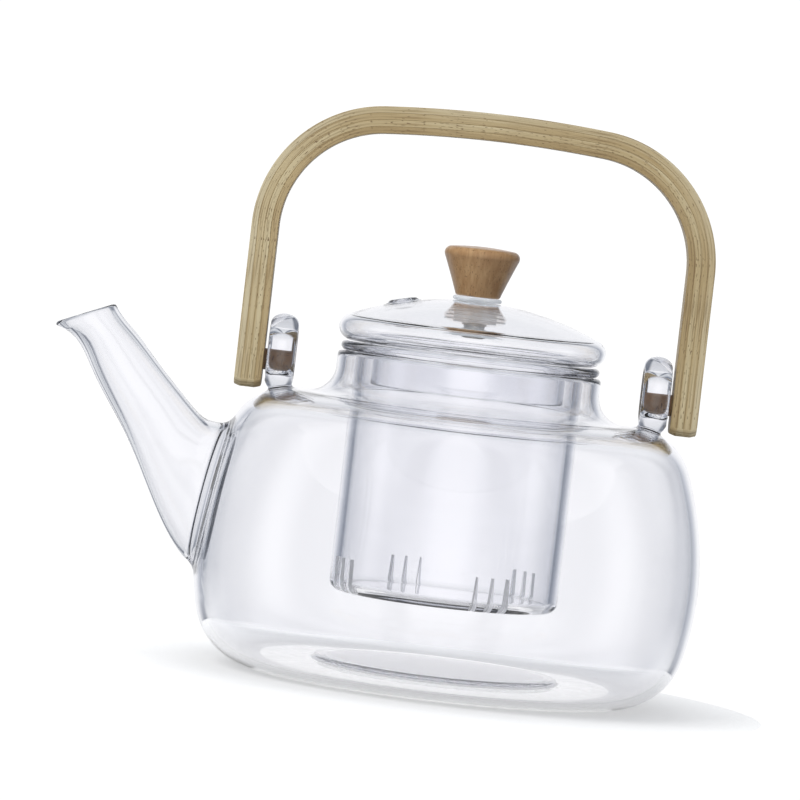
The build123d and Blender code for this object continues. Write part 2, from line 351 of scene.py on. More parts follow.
def turn_outwards(mesh: bpy.types.Mesh) -> None:
    """Drops loose points, makes a closed mesh's winding agree and turns it outwards."""
    work = bmesh.new()
    work.from_mesh(mesh)
    loose = [point for point in work.verts if not point.link_faces]
    bmesh.ops.delete(work, geom=loose, context="VERTS")
    bmesh.ops.remove_doubles(work, verts=work.verts, dist=1e-7)
    bmesh.ops.recalc_face_normals(work, faces=work.faces)
    if work.calc_volume(signed=True) < 0:
        bmesh.ops.reverse_faces(work, faces=work.faces)
    open_edges = sum(not edge.is_manifold for edge in work.edges)
    if open_edges:
        log.warning("%s has %d open edges", mesh.name, open_edges)
    work.to_mesh(mesh)
    work.free()
    mesh.update()


def place(piece: bpy.types.Object, body: Body, slot: Slot, *nodes: str) -> bpy.types.Object:
    """Rides a piece on its body and hides the CAD nodes that it stands for."""
    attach(piece, body.value)
    if nodes:
        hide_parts(*nodes)
    log.info("%s: %d faces on %s", piece.name, len(piece.data.polygons), body.value)
    return piece


def spun_piece(
    name: str,
    outline: Pen,
    columns: int,
    finish: bpy.types.Material,
    ring: bool = False,
    lie: Callable[[Array], Array] | None = None,
) -> bpy.types.Object:
    """Revolves an outline about Z, point (r cos a, r sin a, z).

    Args:
        name: the object's name.
        outline: from the axis to the axis, or a closed ring clear of the axis.
        columns: how many points round.
        finish: its material.
        ring: the outline is a closed ring.
        lie: where to put the finished points, if not upright on the Z axis.

    Returns:
        The new object.
    """
    writer = MeshWriter()
    lie = lie or (lambda points: points)
    angle = np.linspace(0, 2 * math.pi, columns, endpoint=False)
    half = outline.points[:-1] if ring else outline.points[1:-1]
    numbers = writer.points(lie(about_axis(half[:, :1], angle, half[:, 1:])))
    writer.skin(numbers, wrap=True, closed=ring)
    if not ring:
        for row in (0, -1):
            middle = np.array([[0.0, 0.0, outline.points[row, 1]]])
            writer.fan(numbers[row], lie(middle))
    return writer.finish(name, [finish])


# ------------------------------------------------------------------------------ the pot's glass


@dataclass
class Spout:
    """The drawn spout: ellipses standing across a curved middle line, in mm."""

    wall: float = 1.9
    stations: tuple[tuple[tuple[float, float], tuple[float, float], float], ...] = (
        ((-56.0, 27.0), (-56.0, 69.0), 15.0),
        ((-66.0, 27.0), (-66.0, 69.0), 15.0),
        ((-73.8, 27.4), (-73.8, 69.4), 15.0),
        ((-79.0, 32.0), (-77.5, 71.8), 13.8),
        ((-86.4, 43.4), (-81.8, 76.0), 12.2),
        ((-97.8, 63.9), (-90.9, 85.4), 9.6),
        ((-108.6, 79.9), (-97.5, 92.5), 8.3),
        ((-116.4, 90.0), (-102.3, 97.2), 7.5),
        ((-121.7, 92.0), (-103.9, 99.5), 7.9),
    )
    root_height: float = 48.0
    root_half_height: float = 21.0
    root_half_width: float = 15.4
    rows: int = 34

    def reach(self) -> tuple[Array, float]:
        """The stations' places along the middle line, as shares of its length in mm."""
        table = np.array([[*low, *high] for low, high, _ in self.stations])
        middle = (table[:, :2] + table[:, 2:]) / 2
        knots = np.concatenate([[0], np.cumsum(np.linalg.norm(np.diff(middle, axis=0), axis=1))])
        return knots / knots[-1], float(knots[-1])

    def at(self, angle: Array, share: Array, swell: float) -> Array:
        """Points of the tube's skin.

        The middle line plus cos(angle) half widths across and sin(angle) half heights up the
        ellipse, both widened by the swell.

        Args:
            angle: bearing round the tube, 0 towards +Y and a quarter turn up.
            share: place along the middle line, 0 at its root and 1 at the lip.
            swell: mm that the tube is widened by.

        Returns:
            Points in the broadcast shape of angle and share.
        """
        knots, _ = self.reach()
        values = np.array([[*low, *high, half] for low, high, half in self.stations])
        angle, share = np.broadcast_arrays(angle, share)
        read = smooth_line(knots, values, share.ravel()).reshape((*share.shape, 5))
        low, high = read[..., :2], read[..., 2:4]
        lean = (high - low) / 2
        half = np.linalg.norm(lean, axis=-1, keepdims=True)
        flat = (low + high) / 2 + lean / half * (half + swell) * np.sin(angle)[..., None]
        across = (read[..., 4] + swell) * np.cos(angle)
        return np.stack([flat[..., 0], across, flat[..., 1]], axis=-1)

    def lip(self, angle: Array, share: float, count: int) -> Array:
        """Rows of the fire-polished lip, a half circle from the outer to the inner skin."""
        outer = self.at(angle, np.full_like(angle, share), 0.0)
        inner = self.at(angle, np.full_like(angle, share), -self.wall)
        turn = np.linspace(0, math.pi, count + 2)[1:-1, None, None]
        (low_x, low_z), (high_x, high_z), _ = self.stations[-1]
        lean = np.array([high_x - low_x, 0.0, high_z - low_z])
        ahead = np.array([-lean[2], 0.0, lean[0]]) / np.linalg.norm(lean)
        middle, half = (outer + inner) / 2, (outer - inner) / 2
        return middle + half * np.cos(turn) + ahead * self.wall / 2 * np.sin(turn)


@dataclass
class Lug:
    """A closed loop of glass rod that stands on the shoulder, with the peg's slot in it, in mm."""

    side: int
    offset: float = 54.5
    half_x: float = 4.1
    half_rod: float = 2.9
    slot: float = 3.15
    pivot: float = 88.8
    top: float = 102.6
    block_angle: float = math.radians(130)
    block_half_length: float = 7.4

    @property
    def bend(self) -> float:
        """Radius of the rod's middle line round the slot's ends."""
        return self.slot + self.half_rod

    @property
    def straight(self) -> float:
        """Length of each straight limb between the two ends of the slot."""
        return self.top - self.half_rod - self.bend - self.pivot

    @property
    def length(self) -> float:
        """Length of the rod's middle line, all the way round."""
        return 2 * math.pi * self.bend + 2 * self.straight

    def at(self, angle: Array, along: Array, swell: float) -> Array:
        """Points of the rod's skin.

        The middle line turns by a quarter circle, runs up one limb and turns again; the section is
        an ellipse about it, so a point is the middle plus cos(angle) outwards and sin(angle)
        towards the pot's axis.

        Args:
            angle: bearing round the rod, 0 away from the slot and a quarter turn to the axis.
            along: mm along the middle line from its lowest point.
            swell: mm that the rod is thickened by.

        Returns:
            Points in the broadcast shape of angle and along.
        """
        angle, along = np.broadcast_arrays(angle, along)
        quarter = self.bend * math.pi / 2
        far = np.abs(along)
        past = far - quarter - self.straight
        turn = (np.clip(far, 0, quarter) + np.clip(past, 0, quarter)) / self.bend
        rise = np.clip(far - quarter, 0, self.straight)
        out_y, out_z = np.sign(along) * np.sin(turn), -np.cos(turn)
        reach = self.bend + (self.half_rod + swell) * np.cos(angle)
        x = self.offset - (self.half_x + swell) * np.sin(angle)
        y, z = reach * out_y, self.pivot + rise + reach * out_z
        return np.stack([self.side * x, self.side * y, z], axis=-1)


@dataclass
class PotGlass:
    """Blown body with the spout and both lugs melted onto it: one closed skin, in mm."""

    wall: float = 2.4
    belly_radius: float = 73.4
    belly_height: float = 35.0
    base_corner: float = 20.0
    lower_bow: float = 80.0
    upper_bow: float = 95.0
    shoulder_corner: float = 18.0
    shoulder_height: float = 81.4
    neck_radius: float = 38.4
    neck_flare: float = 8.0
    neck_height: float = 94.1
    kick_radius: float = 32.1
    kick_height: float = 2.2
    kick_bend: float = 1.5
    inner_kick_shift: float = 2.2
    columns: int = 216
    wall_step: float = 2.2
    shoulder_step: float = 0.95
    spout_rows: int = 28
    spout_columns: int = 22
    spout_block_foot: float = 20.0
    spout_melt: float = 3.0
    bore_melt: float = 1.2
    lug_rows: int = 20
    lug_columns: int = 12
    lug_block_reach: float = 9.0
    lug_melt: float = 1.8

    def outline(self, wall_step: float, shoulder_step: float) -> Pen:
        """Outside, rim and inside in one line, from the axis under the base to the axis above it."""
        lower_rise = self.belly_height - self.base_corner
        lower_turn = math.degrees(math.asin(lower_rise / (self.lower_bow - self.base_corner)))
        upper_rise = self.shoulder_height - self.shoulder_corner - self.belly_height
        upper_turn = math.degrees(math.asin(upper_rise / (self.upper_bow - self.shoulder_corner)))
        kick_turn = math.degrees(math.acos(1 - self.kick_height / (2 * self.kick_bend)))
        base_reach = math.sqrt((self.lower_bow - self.base_corner) ** 2 - lower_rise**2)
        base_x = self.belly_radius - self.lower_bow + base_reach
        wall = self.wall
        pen = Pen((0.0, self.kick_height), 0, wall_step)
        pen.run(self.kick_radius).mark("kick").grain(shoulder_step / 2)
        pen.arc(self.kick_bend, -kick_turn).arc(self.kick_bend, kick_turn).grain(wall_step)
        pen.run(base_x - pen.at[0]).mark("side")
        pen.arc(self.base_corner, 90 - lower_turn).arc(self.lower_bow, lower_turn)
        pen.arc(self.upper_bow, upper_turn).mark("shoulder").grain(shoulder_step)
        pen.arc(self.shoulder_corner, 90 - upper_turn)
        flat = pen.at[0] - self.neck_radius - self.neck_flare
        pen.run(flat).arc(self.neck_flare, -90).mark("neck")
        pen.run(self.neck_height - wall / 2 - pen.at[1]).grain(shoulder_step / 3)
        pen.arc(wall / 2, 180).grain(shoulder_step)
        pen.run(pen.at[1] - self.shoulder_height - self.neck_flare)
        pen.arc(self.neck_flare + wall, 90).run(flat).mark("inner_shoulder")
        pen.arc(self.shoulder_corner - wall, upper_turn - 90).grain(wall_step)
        pen.arc(self.upper_bow - wall, -upper_turn).arc(self.lower_bow - wall, -lower_turn)
        pen.arc(self.base_corner - wall, lower_turn - 90).mark("inner_side")
        kick_reach = 2 * self.kick_bend * math.sin(math.radians(kick_turn))
        pen.run(pen.at[0] - self.kick_radius - self.inner_kick_shift - kick_reach)
        pen.grain(shoulder_step / 2).arc(self.kick_bend, -kick_turn).arc(self.kick_bend, kick_turn)
        return pen.grain(wall_step).run(pen.at[0])

    def start(self) -> None:
        """Lays out the body's grid of points, one row per outline point and a column per bearing."""
        rows = self.outline(self.wall_step, self.shoulder_step)
        self.fine = Turned(self.outline(0.1, 0.1))
        self.angles = -math.pi / 2 + 2 * math.pi / self.columns * np.arange(self.columns)
        self.places = rows.places[1:-1]
        half = rows.points[1:-1]
        self.grid = about_axis(half[:, :1], self.angles, half[:, 1:])
        self.writer = MeshWriter()
        self.numbers = self.writer.points(self.grid)
        self.keep = np.ones((len(half) - 1, self.columns), bool)
        self.marks = rows.marks
        self.ends = rows.points[[0, -1], 1]

    def wall_depth(self, points: Array, low: str, high: str) -> Array:
        """How far points are outside the side wall: their radius less the wall's at that height."""
        outline, _ = self.fine.stretch(low, high)
        order = np.argsort(outline[:, 1])
        wall = np.interp(points[..., 2], outline[order, 1], outline[order, 0])
        return np.hypot(points[..., 0], points[..., 1]) - wall

    def shoulder_depth(self, points: Array) -> Array:
        """How far points are above the shoulder: their height less the shoulder's at that radius."""
        outline, _ = self.fine.stretch("shoulder", "neck")
        order = np.argsort(outline[:, 0])
        radius = np.hypot(points[..., 0], points[..., 1])
        return points[..., 2] - np.interp(radius, outline[order, 0], outline[order, 1])

    def cut_block(self, rows: Array, columns: Array) -> tuple[Array, Array, Array]:
        """Leaves a block of quads out of the body.

        Args:
            rows: its row numbers, in the order that its edge is followed.
            columns: its column numbers.

        Returns:
            Point numbers, angles and places of the points round its edge.
        """
        self.keep[rows.min() : rows.max(), columns.min() : columns.max()] = False
        row, column = edge_of_block(rows, columns)
        return self.numbers[row, column], self.angles[column], self.places[row]

    def bearing(self, points: Array) -> Array:
        """Angle round the axis, counted as the body's columns are."""
        turned = np.arctan2(points[:, 1], points[:, 0]) + math.pi / 2
        return np.mod(turned, 2 * math.pi) - math.pi / 2

    def collar_rows(self, angle: Array, place: Array, inner: Array, low: str, high: str) -> Array:
        """Rows on the body between a block's edge and a ring of points on the body."""
        ring = np.stack([self.bearing(inner), self.fine.nearest(inner, low, high)], axis=-1)
        steps = rows_between(np.stack([angle, place], axis=-1), ring, 3)
        return self.fine.at(steps[..., 0], steps[..., 1])

    def nearest_row(self, height: float, low: str, high: str) -> int:
        """The body's row nearest to a height on a stretch of the outline."""
        outline, places = self.fine.stretch(low, high)
        place = places[np.abs(outline[:, 1] - height).argmin()]
        return int(np.abs(self.places - place).argmin())

    def join_spout(self, spout: Spout) -> None:
        """Melts the spout on: collar, fillet, tube, lip, bore and the bore's rounded mouth.

        Every ring has one point per point of the block's edge. The fillet is a quadratic curve
        whose corner is where the tube would meet the wall sharply.
        """
        middle = int(np.abs(self.angles - math.pi).argmin())
        columns = middle + np.arange(self.spout_columns + 1) - self.spout_columns // 2
        foot = self.nearest_row(self.spout_block_foot, "side", "shoulder")
        outer = self.cut_block(foot + np.arange(self.spout_rows + 1), columns)
        foot = self.nearest_row(self.spout_block_foot, "inner_shoulder", "inner_side")
        inner = self.cut_block(foot - np.arange(self.spout_rows + 1), columns)
        edge = self.fine.at(outer[1], outer[2])
        up = (edge[:, 2] - spout.root_height) / spout.root_half_height
        angle = np.arctan2(up, edge[:, 1] / spout.root_half_width)
        _, length = spout.reach()
        end = 1 - spout.wall / 2 / length

        def side(block: tuple, swell: float, melt: float, low: str, high: str) -> list[Array]:
            """Rows from a block's edge to the lip, on the outer or the inner skin."""

            def skin(shares: Array, more: float) -> Array:
                """The tube's points on every ray."""
                return spout.at(angle[:, None], shares[None], swell + more)

            def depth(points: Array) -> Array:
                """Distance outside this skin of the body."""
                return self.wall_depth(points, low, high)

            def ring(more: float, level: float) -> tuple[Array, Array]:
                """The tube's crossing with the body, as shares and points."""
                share = crossing(skin, depth, more, level)
                return share, spout.at(angle, share, swell + more)

            _, on_body = ring(melt, 0.0)
            _, corner = ring(0.0, 0.0)
            start, on_tube = ring(0.0, melt)
            steps = start + (end - start) * np.linspace(0, 1, spout.rows + 1)[1:, None]
            return [
                self.collar_rows(block[1], block[2], on_body, low, high),
                on_body[None],
                fillet_rows(on_body, corner, on_tube, 5),
                on_tube[None],
                spout.at(angle[None], steps, swell),
            ]

        outside = side(outer, 0.0, self.spout_melt, "side", "neck")
        inside = side(inner, -spout.wall, self.bore_melt, "inner_shoulder", "inner_side")
        rows = np.concatenate([*outside, spout.lip(angle, end, 7), np.concatenate(inside)[::-1]])
        numbers = self.writer.points(rows)
        self.writer.skin(np.concatenate([outer[0][None], numbers, inner[0][None]]), wrap=True)

    def join_lug(self, lug: Lug) -> None:
        """Melts a lug on: collar, fillet and the loop of rod, with a block left out of each."""
        target = 0.0 if lug.side > 0 else math.pi
        middle = int(np.abs(self.angles - target).argmin())
        columns = middle + np.arange(self.lug_columns + 1) - self.lug_columns // 2
        outline, places = self.fine.stretch("shoulder", "neck")
        reach = places[np.abs(outline[:, 0] - lug.offset + self.lug_block_reach).argmin()]
        last = int(np.abs(self.places - reach).argmin())
        block = last - self.lug_rows + np.arange(self.lug_rows + 1)
        numbers, angle, place = self.cut_block(block, columns)

        across = np.linspace(-lug.block_angle, lug.block_angle, self.lug_rows + 1)
        rest = np.linspace(lug.block_angle, 2 * math.pi - lug.block_angle, 9)[1:-1]
        around = np.concatenate([across, rest])
        near = np.linspace(-lug.block_half_length, lug.block_half_length, self.lug_columns + 1)
        over = np.linspace(lug.block_half_length, lug.length - lug.block_half_length, 27)[1:-1]
        along = np.concatenate([near, np.where(over > lug.length / 2, over - lug.length, over)])
        loop = self.writer.points(lug.at(around[:, None], along[None], 0.0))
        keep = np.ones(loop.shape, bool)
        keep[: self.lug_rows, : self.lug_columns] = False
        self.writer.skin(loop, wrap=True, closed=True, keep=keep)
        row, column = edge_of_block(np.arange(self.lug_rows + 1), np.arange(self.lug_columns + 1))
        edge = np.stack([around[row], along[column]])

        def skin(shares: Array, more: float) -> Array:
            """The rod's points on straight rays from its lowest line to the block's edge."""
            return lug.at(edge[0][:, None] * shares, edge[1][:, None] * shares, more)

        def ring(more: float, level: float) -> tuple[Array, Array]:
            """The rod's crossing with the shoulder, as shares and points."""
            share = crossing(skin, self.shoulder_depth, more, level)
            return share, lug.at(edge[0] * share, edge[1] * share, more)

        _, on_body = ring(self.lug_melt, 0.0)
        _, corner = ring(0.0, 0.0)
        start, on_rod = ring(0.0, self.lug_melt)
        steps = rows_between(start, np.ones_like(start), 2)
        rows = [
            self.collar_rows(angle, place, on_body, "shoulder", "neck"),
            on_body[None],
            fillet_rows(on_body, corner, on_rod, 4),
            on_rod[None],
            lug.at(edge[0] * steps, edge[1] * steps, 0.0),
        ]
        strip = self.writer.points(np.concatenate(rows))
        self.writer.skin(np.concatenate([numbers[None], strip, loop[row, column][None]]), wrap=True)

    def build(self, glass: bpy.types.Material, ground: bpy.types.Material) -> bpy.types.Object:
        """Makes the whole pot.

        Args:
            glass: finish of all of it but the disc under the base.
            ground: finish of that disc.

        Returns:
            The pot's object.
        """
        self.start()
        self.join_spout(Spout())
        for side in (-1, 1):
            self.join_lug(Lug(side))
        disc = (self.places[:-1] < self.marks["kick"]).astype(int)
        self.writer.skin(self.numbers, wrap=True, keep=self.keep, paint=disc)
        for row, height, paint in ((0, self.ends[0], 1), (-1, self.ends[1], 0)):
            self.writer.fan(self.numbers[row], np.array([0.0, 0.0, height]), paint)
        pot = self.writer.finish("pot_glass", [glass, ground])
        nodes = ("pot_body", "pot_shoulder", "spout", "spout_side_lug", "rear_lug")
        return place(pot, Body.POT, Slot.GLASS, *nodes)


# ------------------------------------------------------------------------------ cup and lid


@dataclass
class Cup:
    """The steeping cup: a straight glass beaker with a flange and ground slits, in mm."""

    radius: float = 33.3
    wall: float = 2.6
    bottom: float = 24.9
    floor: float = 1.9
    corner: float = 3.0
    flange_radius: float = 37.7
    flange_low: float = 94.3
    top: float = 97.0
    neck_bend: float = 0.9
    mouth_bend: float = 1.3
    inner_corner: float = 1.6
    slit_height: float = 10.0
    slit_width: float = 1.4
    slit_tip: float = 0.2
    slit_pitch: float = 8.5
    slit_groups: tuple[float, ...] = (24.0, 129.0, 202.5, 295.0)

    def outline(self) -> Pen:
        """Outside, flange and inside, from the axis to the axis."""
        lip = (self.top - self.flange_low) / 2
        pen = Pen((0.0, self.bottom), 0, 2.5)
        pen.run(self.radius - self.corner).grain(0.6).arc(self.corner, 90).grain(2.5)
        pen.run(self.flange_low - self.neck_bend - pen.at[1]).grain(0.4)
        pen.arc(self.neck_bend, -90).run(self.flange_radius - lip - pen.at[0]).arc(lip, 180)
        pen.run(pen.at[0] - self.radius + self.wall - self.mouth_bend)
        pen.arc(self.mouth_bend, 90).grain(2.5)
        pen.run(pen.at[1] - self.bottom - self.floor - self.inner_corner).grain(0.4)
        return pen.arc(self.inner_corner, -90).grain(2.5).run(pen.at[0])

    def blades(self, ground: bpy.types.Material) -> bpy.types.Object:
        """Wedges where the grinding wheel cut: wide below the floor and pointed above."""
        writer = MeshWriter()
        shift = self.slit_pitch * np.arange(-1, 2)
        bearing = np.radians((np.array(self.slit_groups)[:, None] + shift).ravel())
        outward = np.stack([np.sin(bearing), -np.cos(bearing), 0 * bearing], axis=-1)
        sideways = np.stack([np.cos(bearing), np.sin(bearing), 0 * bearing], axis=-1)
        low, high = self.bottom - 1, self.bottom + self.slit_height
        half = np.array([self.slit_width, self.slit_width, self.slit_tip, self.slit_tip]) / 2
        corners = np.stack([half * [-1, 1, 1, -1], [low, low, high, high]], axis=-1)
        for out, aside in zip(outward, sideways):
            face = corners[:, :1] * aside + corners[:, 1:] * np.array([0.0, 0.0, 1.0])
            ends = [self.radius + 1, self.radius - self.wall - 2]
            numbers = writer.points(np.stack([face + out * end for end in ends]))
            writer.skin(numbers, wrap=True)
            writer.plate(numbers[0])
            writer.plate(numbers[1])
        return writer.finish("slit_blades", [ground])

    def build(self, glass: bpy.types.Material, ground: bpy.types.Material) -> bpy.types.Object:
        """Turns the cup and cuts the slits, whose ground faces get their own finish.

        Args:
            glass: finish of the blown surfaces.
            ground: finish of the cut ones.

        Returns:
            The cup's object.
        """
        cup = spun_piece("infuser_glass", self.outline(), 240, glass)
        cup.data.materials.append(ground)
        cut(cup, self.blades(ground))
        return place(cup, Body.CUP, Slot.GLASS, "infuser_cup")


def cut(piece: bpy.types.Object, blades: bpy.types.Object) -> None:
    """Takes closed blades away from a piece for good, and keeps their materials on the cut faces."""
    step = piece.modifiers.new("cut", "BOOLEAN")
    step.operation, step.solver, step.object = "DIFFERENCE", "EXACT", blades
    step.material_mode = "TRANSFER"
    depsgraph = bpy.context.evaluated_depsgraph_get()
    mesh = bpy.data.meshes.new_from_object(piece.evaluated_get(depsgraph))
    mesh.set_sharp_from_angle(angle=math.radians(35))
    piece.modifiers.clear()
    piece.data = mesh
    bpy.data.objects.remove(blades)


@dataclass
class Lid:
    """The blown lid: a dome, a rolled edge and a collar in one hollow skin, in mm."""

    wall: float = 1.6
    rest: float = 97.2
    roll: float = 3.95
    radius: float = 38.9
    top: float = 112.45
    collar_radius: float = 28.1
    collar_bottom: float = 84.2
    collar_bend: float = 2.4
    hole: float = 5.2
    vent_x: float = -21.2
    vent_profile: tuple[tuple[float, float], ...] = (
        (5.4, 0.0), (4.9, 0.12), (4.4, 0.42), (3.9, 0.78), (3.4, 0.92), (2.95, 0.75), (2.7, 0.3),
        (2.6, -0.3), (2.62, -0.9), (2.8, -1.35), (3.2, -1.6), (4.2, -1.6),
    )
    columns: int = 144
    vent_block: int = 12

    @property
    def crown(self) -> float:
        """Radius of the dome, which meets the rolled edge tangentially."""
        run, rise = self.radius - self.roll, self.top - self.rest - self.roll
        return (run**2 + rise**2 - self.roll**2) / (2 * (rise - self.roll))

    def dome_height(self, radius: float, inset: float = 0.0) -> float:
        """Height of the dome at a radius, outside or inset into the wall."""
        return self.top - self.crown + math.sqrt((self.crown - inset) ** 2 - radius**2)

    def outline(self, step: float) -> Pen:
        """Collar, underside, roll and dome outside, then the same inside: a closed ring."""
        wall, half = self.wall, self.wall / 2
        lean = math.degrees(math.asin((self.radius - self.roll) / (self.crown - self.roll)))
        dome = lean - math.degrees(math.asin(self.hole / self.crown))
        pen = Pen((self.collar_radius, self.collar_bottom + half), 90, 2.0)
        pen.run(self.rest - self.collar_bend - pen.at[1]).grain(0.6)
        pen.arc(self.collar_bend, -90).run(self.radius - self.roll - pen.at[0])
        pen.arc(self.roll, 180 - lean).mark("dome").grain(step)
        pen.arc(self.crown, dome).mark("hole").grain(0.3).arc(half, 180)
        pen.mark("inner_hole").grain(step).arc(self.crown - wall, -dome).mark("inner_dome")
        pen.grain(0.6).arc(self.roll - wall, lean - 180)
        pen.run(pen.at[0] - self.collar_radius - self.collar_bend)
        pen.arc(self.collar_bend + wall, 90).grain(2.0).run(pen.at[1] - self.collar_bottom - half)
        return pen.grain(0.3).arc(half, 180)

    def vent_rows(self, numbers: list[tuple[Array, Array]], grid: Array) -> Array:
        """Rows of the vent's bead and hole, from the outer block's edge to the inner one's.

        About the dome's centre, a row at reach p and height h lies along the vent's direction plus
        p towards each bearing, made the dome's radius plus h long.

        Args:
            numbers: row and column numbers of both blocks' edges, outer first.
            grid: the lid's points.

        Returns:
            The rows (rows, points, 3).
        """
        centre = np.array([0.0, 0.0, self.top - self.crown])
        lean = math.asin(self.vent_x / self.crown)
        out = np.array([math.sin(lean), 0.0, math.cos(lean)])
        east = np.array([math.cos(lean), 0.0, -math.sin(lean)])
        north = np.array([0.0, 1.0, 0.0])
        bearings = []
        for row, column in numbers:
            ray = grid[row, column] - centre
            ray = ray / (ray @ out)[:, None] * self.crown
            bearings.append(np.stack([ray @ east, ray @ north], axis=-1))
        reach = [np.linalg.norm(bearing, axis=-1, keepdims=True) for bearing in bearings]
        way = bearings[0] / reach[0]

        def ring(ahead: Array, height: float) -> Array:
            """Points at these offsets across the vent and this height over the dome."""
            ray = out * self.crown + ahead[:, :1] * east + ahead[:, 1:] * north
            ray = ray / np.linalg.norm(ray, axis=-1, keepdims=True)
            return centre + ray * (self.crown + height)

        first, last = self.vent_profile[0][0], self.vent_profile[-1][0]
        rows = [ring((bearings[0] + way * first) / 2, 0.0)]
        rows += [ring(way * reach_of, height) for reach_of, height in self.vent_profile]
        rows.append(ring((bearings[1] + way * last) / 2, -self.wall))
        return np.stack(rows)

    def build(self, glass: bpy.types.Material) -> bpy.types.Object:
        """Makes the lid's glass with its vent.

        Args:
            glass: its finish.

        Returns:
            The lid's object.
        """
        outline = self.outline(0.95)
        half, places = outline.points[:-1], outline.places[:-1]
        angle = 2 * math.pi / self.columns * np.arange(self.columns)
        grid = about_axis(half[:, :1], angle, half[:, 1:])
        writer = MeshWriter()
        numbers = writer.points(grid)
        keep = np.ones((len(half), self.columns), bool)
        middle = self.columns // 2
        span = self.vent_block // 2
        columns = middle + np.arange(-span, span + 1)
        edges = []
        for low, high, way in (("dome", "hole", 1), ("inner_hole", "inner_dome", -1)):
            chosen = np.flatnonzero((places >= outline.marks[low]) & (places <= outline.marks[high]))
            near = chosen[np.abs(half[chosen, 0] + self.vent_x).argmin()]
            rows = near + way * np.arange(-span, span + 1)
            keep[rows.min() : rows.max(), columns.min() : columns.max()] = False
            edges.append(edge_of_block(rows, columns))
        strip = self.vent_rows(edges, grid)
        outer, inner = (numbers[row, column][None] for row, column in edges)
        writer.skin(np.concatenate([outer, writer.points(strip), inner]), wrap=True)
        writer.skin(numbers, wrap=True, closed=True, keep=keep)
        return place(writer.finish("lid_blown", [glass]), Body.LID, Slot.GLASS, "lid_glass")


# ------------------------------------------------------------------------------ knob and fastening


